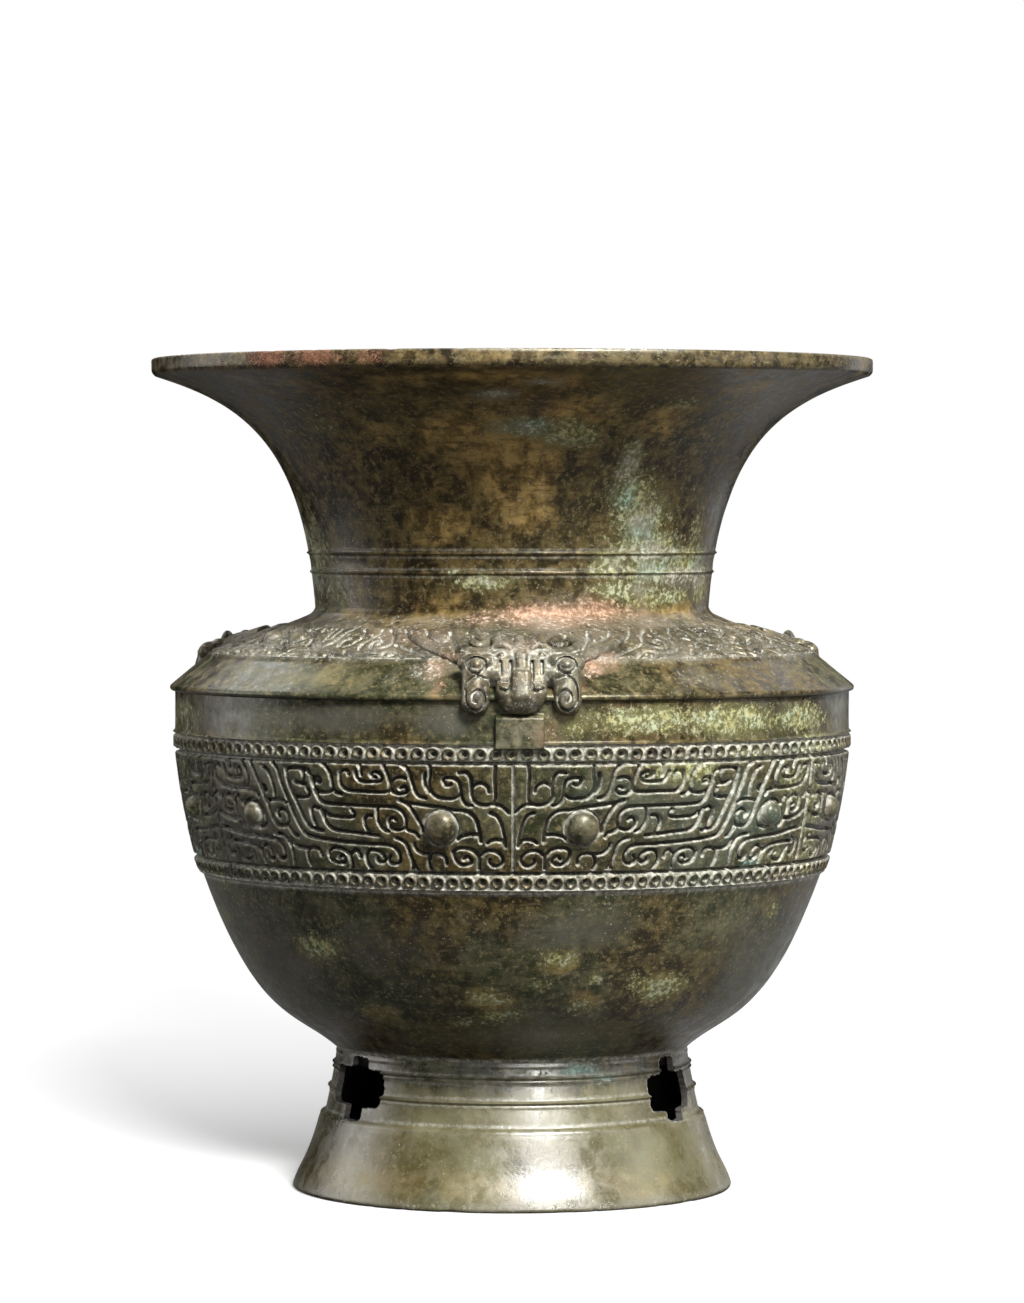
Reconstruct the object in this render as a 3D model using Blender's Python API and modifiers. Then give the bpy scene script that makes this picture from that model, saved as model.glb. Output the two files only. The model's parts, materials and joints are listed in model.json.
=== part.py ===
"""Bronze zun: a wide-mouthed, broad-shouldered wine vessel on a pierced ring foot.

One main casting (neck, shoulder, belly, base and foot in a single pour), beast
heads cast on afterwards through slots in the shoulder and locked by a rivet
inside, and the metal chaplets that held the core off the mould and stayed in
the wall. Metres, +Z up, origin on the floor under the axis, front towards -Y.
"""

import math

import bmesh
import bpy
from mathutils import Matrix, Vector

MM = 0.001

# ---- driving dimensions, in millimetres -----------------------------------
HEIGHT = 380.0            # floor to lip
LIP_RADIUS = 165.5        # mouth 331 across
LIP_EDGE = 6.0            # height of the lip's outer face
LIP_LAND = 6.5            # width of the lip's flat top
NECK_RADIUS = 90.5        # at the foot of the neck
NECK_Z = 266.5
SHOULDER_TOP_RADIUS = 98.9
SHOULDER_TOP_Z = 260.6
CHAMFER_RADIUS = 139.4    # where the ornamented shoulder turns into the chamfer
CHAMFER_Z = 245.2
SHOULDER_RADIUS = 156.5   # widest line of the body
SHOULDER_Z = 230.6
WALL_RADIUS = 154.9       # top of the ornamented belly band
BAND_TOP_Z = 213.0
BAND_END_RADIUS = 144.2
BAND_END_Z = 148.0
BELLY_RADIUS = 142.0      # plain belly, one step inside the band
BELLY_Z = 145.4
FOOT_TOP_RADIUS = 80.8
FOOT_TOP_Z = 64.5
STEP_RADIUS = 85.8        # ledge half way down the foot
STEP_Z = 36.3
FLARE_RADIUS = 89.2
FLARE_Z = 31.5
FOOT_RADIUS = 100.9
FOOT_LAND = 5.3           # width of the ring the vessel stands on
BASE_UNDER_Z = 44.0       # lowest point of the bowl's underside
WALL = 4.0                # body wall
NECK_WALL = 3.5
BASE_WALL = 4.5
TURN_STEPS = 60

FIT_GAP = 0.3             # between pieces that touch
SECTION = 120.0           # three mould sections

# cross-shaped holes in the foot, where the foot core was keyed to the mould
CROSS_TURN = 60.0
CROSS_ARM_Z, CROSS_ARM_WIDTH, CROSS_ARM_HEIGHT = 50.0, 35.0, 15.5
CROSS_BAR_Z, CROSS_BAR_WIDTH, CROSS_BAR_HEIGHT = 47.5, 10.5, 26.5
CROSS_DEEPEST = 76.4      # the holes stop short of the bowl

# beast heads on the shoulder
HEAD_TURN = 1.5           # the heads sit a little off the mould seams
HEAD_WIDTH = 52.0
MUZZLE_RADIUS = 164.6     # tip of the muzzle from the axis
MUZZLE_WIDTH = 23.0
MUZZLE_LOW_Z = 222.5
CHEEK_LOW_Z = 224.6
CHEEK_WIDTH = 14.0
SKULL_TOP_Z = 257.0
TENON_WIDTH, TENON_LENGTH = 16.0, 9.0
RIVET_WIDTH, RIVET_LENGTH, RIVET_THICK = 24.0, 15.0, 3.0

# chaplets: rows of (node prefix, count, height on the wall, first turn)
CHAPLET_SIZE = 12.0
CHAPLET_ROWS = (
    ("neck_chaplet", 6, 328.0, 30.0),
    ("upper_belly_chaplet", 6, 116.0, 30.0),
    ("lower_belly_chaplet", 3, 82.0, 0.0),
)
BASE_CHAPLETS = 4
BASE_CHAPLET_RADIUS = 42.0

BRONZE = (0.115, 0.092, 0.055)
HEAD_BRONZE = (0.14, 0.115, 0.07)
CHAPLET_BRONZE = (0.15, 0.10, 0.06)


# ---- scene ----------------------------------------------------------------
for old in list(bpy.data.objects):
    bpy.data.objects.remove(old, do_unlink=True)

parts = bpy.data.collections.new("bronze_zun")
cutters = bpy.data.collections.new("zun_cutters")
for made in (parts, cutters):
    bpy.context.scene.collection.children.link(made)

frame = bpy.data.objects.new("zun_frame", None)
parts.objects.link(frame)


def material(name, colour, roughness, metallic):
    made = bpy.data.materials.new(name)
    made.use_nodes = True
    shader = made.node_tree.nodes["Principled BSDF"]
    shader.inputs["Base Color"].default_value = (*colour, 1.0)
    shader.inputs["Roughness"].default_value = roughness
    shader.inputs["Metallic"].default_value = metallic
    return made


body_metal = material("patinated_bronze", BRONZE, 0.45, 0.8)
head_metal = material("cast_on_bronze", HEAD_BRONZE, 0.42, 0.8)
chaplet_metal = material("chaplet_bronze", CHAPLET_BRONZE, 0.5, 0.8)


def add(name, mesh, metal=None, cutter=False):
    obj = bpy.data.objects.new(name, mesh)
    (cutters if cutter else parts).objects.link(obj)
    if cutter:
        obj.hide_render = True
        obj.display_type = "WIRE"
    else:
        obj.parent = frame
        mesh.materials.append(metal)
    return obj


def boolean(obj, other, operation):
    made = obj.modifiers.new(operation.lower() + "_" + other.name, "BOOLEAN")
    made.operation = operation
    made.solver = "EXACT"
    made.object = other
    return made


def box(name, size, matrix, round_by=0.0, cutter=True, metal=None):
    """A box of that size in mm, centred on matrix, with its edges rounded."""
    mesh = bpy.data.meshes.new(name)
    bm = bmesh.new()
    bmesh.ops.create_cube(bm, size=1.0)
    bmesh.ops.scale(bm, vec=Vector(size) * MM, verts=bm.verts)
    if round_by:
        bmesh.ops.bevel(
            bm, geom=list(bm.edges), offset=round_by * MM, segments=2,
            profile=0.5, affect="EDGES",
        )
    bm.to_mesh(mesh)
    bm.free()
    obj = add(name, mesh, metal, cutter)
    obj.matrix_world = matrix
    return obj


def ball(name, size, matrix, cutter=True):
    mesh = bpy.data.meshes.new(name)
    bm = bmesh.new()
    bmesh.ops.create_uvsphere(bm, u_segments=14, v_segments=8, radius=0.5)
    bmesh.ops.scale(bm, vec=Vector(size) * MM, verts=bm.verts)
    bm.to_mesh(mesh)
    bm.free()
    obj = add(name, mesh, None, cutter)
    obj.matrix_world = matrix
    return obj


# ---- the turned profile ----------------------------------------------------
def curve(p0, p1, p2, p3, count, first=True):
    """Points on a cubic curve from p0 to p3."""
    found = []
    for i in range(0 if first else 1, count + 1):
        t = i / count
        u = 1 - t
        found.append(tuple(
            u ** 3 * a + 3 * u * u * t * b + 3 * u * t * t * c + t ** 3 * d
            for a, b, c, d in zip(p0, p1, p2, p3)
        ))
    return found


def outer_profile():
    """(radius, height) down the outside, from the lip to the floor."""
    lip_low = (LIP_RADIUS - 1.5, HEIGHT - LIP_EDGE - 2.0)
    neck = (NECK_RADIUS, NECK_Z)
    down = [
        (LIP_RADIUS - 1.0, HEIGHT),
        (LIP_RADIUS, HEIGHT - 1.0),
        (LIP_RADIUS, HEIGHT - LIP_EDGE),
    ]
    down += curve(lip_low, (128.2, 360.7), (96.0, 345.9), neck, 12)
    down += [(NECK_RADIUS + 2.2, NECK_Z - 3.4)]
    down += [(SHOULDER_TOP_RADIUS, SHOULDER_TOP_Z)]
    down += [(CHAMFER_RADIUS, CHAMFER_Z)]
    down += [(SHOULDER_RADIUS, SHOULDER_Z), (SHOULDER_RADIUS, SHOULDER_Z - 1.2)]
    down += [(WALL_RADIUS + 0.6, SHOULDER_Z - 2.8), (WALL_RADIUS, BAND_TOP_Z)]
    down += curve(
        (WALL_RADIUS, BAND_TOP_Z - 7.0), (155.0, 193.0), (148.6, 160.0),
        (BAND_END_RADIUS, BAND_END_Z), 5,
    )
    down += curve(
        (BELLY_RADIUS, BELLY_Z), (117.5, 76.0), (100.0, 81.9),
        (FOOT_TOP_RADIUS, FOOT_TOP_Z), 10,
    )
    down += [(83.4, 47.5), (STEP_RADIUS, STEP_Z), (FLARE_RADIUS - 0.4, STEP_Z - 3.6)]
    down += curve(
        (FLARE_RADIUS, FLARE_Z), (94.8, 11.6), (98.1, 10.7),
        (FOOT_RADIUS - 0.1, 2.0), 4,
    )
    down += [(FOOT_RADIUS, 0.9), (FOOT_RADIUS - 0.7, 0.0)]
    return down


def inset(points, by):
    """The line that runs by inside a line of points, on its left going up."""
    found = []
    for i, (r, z) in enumerate(points):
        a = points[max(i - 1, 0)]
        b = points[min(i + 1, len(points) - 1)]
        dr, dz = b[0] - a[0], b[1] - a[1]
        length = math.hypot(dr, dz)
        found.append((r + dz / length * by, z - dr / length * by))
    return found


OUTER = outer_profile()


def radius_at(z, low, high):
    """(radius, outward normal as (radial, up)) of the outside at a height, looked for between two heights."""
    for (r0, z0), (r1, z1) in zip(OUTER, OUTER[1:]):
        if high >= z0 >= z >= z1 >= low:
            t = (z0 - z) / (z0 - z1)
            length = math.hypot(r1 - r0, z1 - z0)
            return r0 + t * (r1 - r0), ((z0 - z1) / length, (r1 - r0) / length)
    raise ValueError(f"no wall at {z}")


def inner_profile():
    """(radius, height) up the inside, from the middle of the floor to the lip."""
    floor_low = BASE_UNDER_Z + BASE_WALL
    up = [(0.0, floor_low)]
    up += curve(
        (22.0, floor_low + 0.7), (50.0, floor_low + 3.0), (75.0, floor_low + 11.0),
        (92.0, 79.4), 4,
    )
    belly = curve((BELLY_RADIUS, BELLY_Z), (117.5, 76.0), (100.0, 81.9), (FOOT_TOP_RADIUS, FOOT_TOP_Z), 10)
    up += [(r - 0.8 * WALL, z + 0.6 * WALL) for r, z in belly[6:2:-1]]
    up += [(BELLY_RADIUS - WALL, BELLY_Z + 1.0)]
    up += [(BAND_END_RADIUS + 4.2 - WALL, 166.0), (WALL_RADIUS - 3.0 - WALL, 186.0)]
    up += [(WALL_RADIUS - WALL, BAND_TOP_Z), (SHOULDER_RADIUS - WALL, SHOULDER_Z - 1.9)]
    up += [(CHAMFER_RADIUS - 2.1, CHAMFER_Z - 3.5)]
    up += [(SHOULDER_TOP_RADIUS - 4.2, SHOULDER_TOP_Z - WALL + 0.2)]
    up += [(NECK_RADIUS - NECK_WALL, NECK_Z - 2.0)]
    flare = curve(
        (NECK_RADIUS, NECK_Z), (96.0, 345.9), (128.2, 360.7),
        (LIP_RADIUS - 1.5, HEIGHT - LIP_EDGE - 2.0), 10,
    )
    up += [(r, z) for r, z in inset(flare, -NECK_WALL)[1:-1]]
    up += [(LIP_RADIUS - LIP_LAND - 1.6, HEIGHT - 1.2), (LIP_RADIUS - LIP_LAND, HEIGHT)]
    return up


def foot_inside():
    """(radius, height) from the standing ring up inside the foot and in to the axis."""
    in_radius = FOOT_RADIUS - FOOT_LAND
    line = [(in_radius, 0.0), (in_radius - 1.4, 6.0), (89.0, 18.0), (84.6, 30.0)]
    line += [(79.9, 45.0), (77.4, 56.5)]
    line += curve((74.5, 58.2), (52.0, 47.5), (30.0, 44.6), (14.0, BASE_UNDER_Z + 0.2), 4)
    line += [(0.0, BASE_UNDER_Z)]
    return line


def turned(name, line, metal=None, cutter=False, steps=TURN_STEPS):
    mesh = bpy.data.meshes.new(name)
    verts = [(r * MM, 0.0, z * MM) for r, z in line]
    mesh.from_pydata(verts, [(i, i + 1) for i in range(len(verts) - 1)], [])
    obj = add(name, mesh, metal, cutter)
    screw = obj.modifiers.new("turn", "SCREW")
    screw.axis = "Z"
    screw.angle = math.tau
    screw.steps = screw.render_steps = steps
    screw.use_merge_vertices = True
    screw.merge_threshold = 0.0001
    screw.use_smooth_shade = True
    return obj


vessel = turned("vessel_body", inner_profile() + OUTER + foot_inside(), body_metal)

# Everything inside this envelope belongs to the body and its fit gap.
envelope_line = [(0.0, HEIGHT)] + [
    (r + 0.75 * FIT_GAP, z + 0.8 * FIT_GAP) for r, z in OUTER if 262.0 > z > 200.0
] + [(150.0, 200.0), (0.0, 200.0)]
envelope_line[1:1] = [(NECK_RADIUS + 0.5, HEIGHT), (NECK_RADIUS + 0.5, 262.4)]
envelope = turned("shoulder_envelope", envelope_line, cutter=True)


# ---- places on the body ------------------------------------------------------
def facing(turn, radius, z, pitch):
    """A frame whose X runs round the body, Y up the wall and Z out of it. pitch is the outward normal's rise in radians."""
    a = math.radians(turn)
    out = Vector((math.sin(a) * math.cos(pitch), -math.cos(a) * math.cos(pitch), math.sin(pitch)))
    round_ = Vector((math.cos(a), math.sin(a), 0.0))
    up = out.cross(round_)
    at = Vector((radius * math.sin(a), -radius * math.cos(a), z)) * MM
    made = Matrix((round_, up, out)).transposed().to_4x4()
    made.translation = at
    return made


# ---- cross-shaped holes in the foot -----------------------------------------
for i in range(3):
    turn = CROSS_TURN + SECTION * i
    for name, z, wide, high in (
        ("arm", CROSS_ARM_Z, CROSS_ARM_WIDTH, CROSS_ARM_HEIGHT),
        ("bar", CROSS_BAR_Z, CROSS_BAR_WIDTH, CROSS_BAR_HEIGHT),
    ):
        place = facing(turn, CROSS_DEEPEST + 10.0, z, 0.0)
        hole = box(f"cross_{name}_{i}", (wide, high, 20.0), place)
        boolean(vessel, hole, "DIFFERENCE")


# ---- beast heads ---------------------------------------------------------------
def head(name, turn):
    """A beast head that stands on the chamfer of the shoulder, its tenon through a slot and a rivet inside."""
    def at(x, radius, z, pitch=0.0):
        made = facing(turn, radius, z, pitch)
        made.translation += made.to_3x3() @ Vector((x * MM, 0.0, 0.0))
        return made

    cheek_x = (HEAD_WIDTH - CHEEK_WIDTH) / 2
    skull = box(
        name, (HEAD_WIDTH - 6.0, 16.0, 27.0), at(0.0, 148.0, 245.0, math.radians(25.0)),
        4.0, cutter=False, metal=head_metal,
    )
    muzzle_high = SKULL_TOP_Z - 8.0
    pieces = [
        box(f"{name}_muzzle", (MUZZLE_WIDTH, muzzle_high - MUZZLE_LOW_Z, 22.0),
            at(0.0, MUZZLE_RADIUS - 11.0, (muzzle_high + MUZZLE_LOW_Z) / 2), 4.5),
        ball(f"{name}_brow", (HEAD_WIDTH - 10.0, 14.0, 18.0), at(0.0, 142.0, SKULL_TOP_Z - 7.0)),
    ]
    for side in (-1.0, 1.0):
        pieces.append(box(
            f"{name}_cheek_{'l' if side < 0 else 'r'}",
            (CHEEK_WIDTH, 26.0, 20.0),
            at(side * cheek_x, 152.5, CHEEK_LOW_Z + 13.0), 4.0,
        ))
    for piece in pieces:
        boolean(skull, piece, "UNION")
    boolean(skull, envelope, "DIFFERENCE")

    # slot through the chamfer, tenon in it and rivet behind it
    slope = math.atan2(CHAMFER_Z - SHOULDER_Z, SHOULDER_RADIUS - CHAMFER_RADIUS)
    pitch = math.pi / 2 - slope
    seat = at(0.0, (CHAMFER_RADIUS + SHOULDER_RADIUS) / 2, (CHAMFER_Z + SHOULDER_Z) / 2, pitch)

    def along(depth):
        made = seat.copy()
        made.translation += seat.to_3x3() @ Vector((0.0, 0.0, depth * MM))
        return made

    rivet_top = -(WALL + 1.0)
    slot = box(
        f"{name}_slot", (TENON_WIDTH + 2 * FIT_GAP, TENON_LENGTH + 2 * FIT_GAP, 20.0), along(-4.0)
    )
    boolean(vessel, slot, "DIFFERENCE")
    tenon = box(f"{name}_tenon", (TENON_WIDTH, TENON_LENGTH, 16.0), along(-2.0))
    rivet = box(
        f"{name}_rivet", (RIVET_WIDTH, RIVET_LENGTH, RIVET_THICK),
        along(rivet_top - RIVET_THICK / 2), 1.0,
    )
    boolean(skull, tenon, "UNION")
    boolean(skull, rivet, "UNION")
    return skull


for name, turn in (
    ("front_beast_head", 0.0),
    ("right_beast_head", SECTION),
    ("left_beast_head", -SECTION),
):
    head(name, turn + HEAD_TURN)


# ---- chaplets ----------------------------------------------------------------------
def chip(name, matrix, thick, sides, spin, cutter=False, grow=0.0):
    """A cut chip of older bronze, a flat prism."""
    mesh = bpy.data.meshes.new(name)
    bm = bmesh.new()
    bmesh.ops.create_cone(
        bm, cap_ends=True, segments=sides, radius1=CHAPLET_SIZE / 2 * MM + grow * MM,
        radius2=CHAPLET_SIZE / 2 * MM + grow * MM, depth=thick * MM,
        matrix=Matrix.Rotation(spin, 4, "Z"),
    )
    bmesh.ops.scale(bm, vec=(1.0, 0.82, 1.0), verts=bm.verts)
    bm.to_mesh(mesh)
    bm.free()
    obj = add(name, mesh, None if cutter else chaplet_metal, cutter)
    obj.matrix_world = matrix
    return obj


def chaplet(name, matrix, thick, number):
    """A chip through the wall, in a window that fits it."""
    sides, spin = 5 + number % 2, 0.7 * number
    window = chip(f"{name}_window", matrix, 14.0, sides, spin, True, 1.3 * FIT_GAP)
    boolean(vessel, window, "DIFFERENCE")
    return chip(name, matrix, thick, sides, spin)


for prefix, count, z, first in CHAPLET_ROWS:
    on_neck = z > NECK_Z
    wall = NECK_WALL if on_neck else WALL
    radius, (out, rise) = radius_at(z, NECK_Z if on_neck else FOOT_TOP_Z, 372.0 if on_neck else BELLY_Z)
    pitch = math.atan2(rise, out)
    for i in range(count):
        place = facing(first + 360.0 / count * i, radius - out * wall / 2, z - rise * wall / 2, pitch)
        chaplet(f"{prefix}_{i + 1}", place, wall - 0.7, i)

for i in range(BASE_CHAPLETS):
    turn = 45.0 + 90.0 * i
    a = math.radians(turn)
    place = Matrix.Rotation(a, 4, "Z")
    place.translation = Vector((
        BASE_CHAPLET_RADIUS * math.sin(a), -BASE_CHAPLET_RADIUS * math.cos(a),
        BASE_UNDER_Z + 1.6 + BASE_WALL / 2,
    )) * MM
    chaplet(f"base_chaplet_{i + 1}", place, BASE_WALL - 1.0, i)

for obj in parts.objects:
    if obj.type == "MESH":
        obj.data.shade_smooth()
        obj.data.set_sharp_from_angle(angle=math.radians(35.0))
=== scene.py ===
import json
import math

import bmesh
import bpy
import numpy as np
from mathutils import Matrix, Vector

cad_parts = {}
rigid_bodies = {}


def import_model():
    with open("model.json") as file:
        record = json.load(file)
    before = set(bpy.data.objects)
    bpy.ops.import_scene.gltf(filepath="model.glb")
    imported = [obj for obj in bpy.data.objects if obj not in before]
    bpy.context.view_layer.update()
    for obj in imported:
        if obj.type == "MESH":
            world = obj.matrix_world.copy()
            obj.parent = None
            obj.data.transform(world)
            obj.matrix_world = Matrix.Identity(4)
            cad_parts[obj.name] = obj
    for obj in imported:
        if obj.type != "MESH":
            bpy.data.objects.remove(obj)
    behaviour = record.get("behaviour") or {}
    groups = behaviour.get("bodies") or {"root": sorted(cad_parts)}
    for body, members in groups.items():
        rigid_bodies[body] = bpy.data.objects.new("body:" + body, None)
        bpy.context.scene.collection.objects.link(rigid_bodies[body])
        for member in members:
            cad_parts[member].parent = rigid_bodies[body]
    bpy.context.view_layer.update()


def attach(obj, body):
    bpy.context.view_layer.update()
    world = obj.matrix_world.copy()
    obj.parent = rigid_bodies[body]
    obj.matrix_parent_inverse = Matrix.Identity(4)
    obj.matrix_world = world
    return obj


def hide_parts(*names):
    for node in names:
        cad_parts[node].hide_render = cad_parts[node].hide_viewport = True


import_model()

MM = 0.001
TAU = math.tau
scene = bpy.context.scene

# =====================================================================
# Small numeric helpers
# =====================================================================


def smooth(lo, hi, x):
    t = np.clip((x - lo) / (hi - lo), 0.0, 1.0)
    return t * t * (3.0 - 2.0 * t)


def bez(p0, p1, p2, p3, n):
    t = np.linspace(0.0, 1.0, n)[:, None]
    p0, p1, p2, p3 = (np.array(p, float) for p in (p0, p1, p2, p3))
    u = 1 - t
    return u**3 * p0 + 3 * u * u * t * p1 + 3 * u * t * t * p2 + t**3 * p3


def resample(points, step):
    """Points about step apart along a polyline."""
    points = np.array(points, float)
    seg = np.hypot(*np.diff(points, axis=0).T)
    length = np.concatenate([[0.0], np.cumsum(seg)])
    n = max(2, int(round(length[-1] / step)) + 1)
    at = np.linspace(0.0, length[-1], n)
    return np.stack([np.interp(at, length, points[:, k]) for k in range(points.shape[1])], 1)


def curved(points, per=5):
    """A smooth line through given points (Catmull-Rom)."""
    p = np.array(points, float)
    if len(p) < 3:
        return p
    e = np.vstack([2 * p[0] - p[1], p, 2 * p[-1] - p[-2]])
    out = []
    for i in range(1, len(e) - 2):
        a, b, c, d = e[i - 1], e[i], e[i + 1], e[i + 2]
        for t in np.linspace(0, 1, per, endpoint=False):
            out.append(0.5 * (2 * b + (c - a) * t + (2 * a - 5 * b + 4 * c - d) * t * t + (3 * b - a - 3 * c + d) * t**3))
    out.append(p[-1])
    return np.array(out)


def hash3(i, j, k, seed):
    h = np.sin(i * 127.1 + j * 311.7 + k * 74.7 + seed * 53.3) * 43758.5453
    return h - np.floor(h)


def noise3(p, scale, seed=0):
    """Smooth value noise from 0 to 1 at points (n, 3) in metres; scale is cells per metre."""
    q = p * scale + 1000.0
    f = np.floor(q)
    t = q - f
    t = t * t * (3 - 2 * t)
    total = 0.0
    for a in (0, 1):
        for b in (0, 1):
            for c in (0, 1):
                w = (t[:, 0] if a else 1 - t[:, 0]) * (t[:, 1] if b else 1 - t[:, 1]) * (t[:, 2] if c else 1 - t[:, 2])
                total = total + w * hash3(f[:, 0] + a, f[:, 1] + b, f[:, 2] + c, seed)
    return total


def fractal(p, scale, octaves=4, gain=0.55, seed=0):
    total, amp, norm = 0.0, 1.0, 0.0
    for o in range(octaves):
        total = total + amp * noise3(p, scale * 2**o, seed + o)
        norm += amp
        amp *= gain
    return total / norm


# =====================================================================
# The ornament, drawn as incised lines
# =====================================================================
# Half of one belly section. Each line is a run of (degrees from the mask's
# middle, distance down the wall in units of 0.46 mm below the shoulder's wall).
S_UNIT = 0.46

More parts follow.
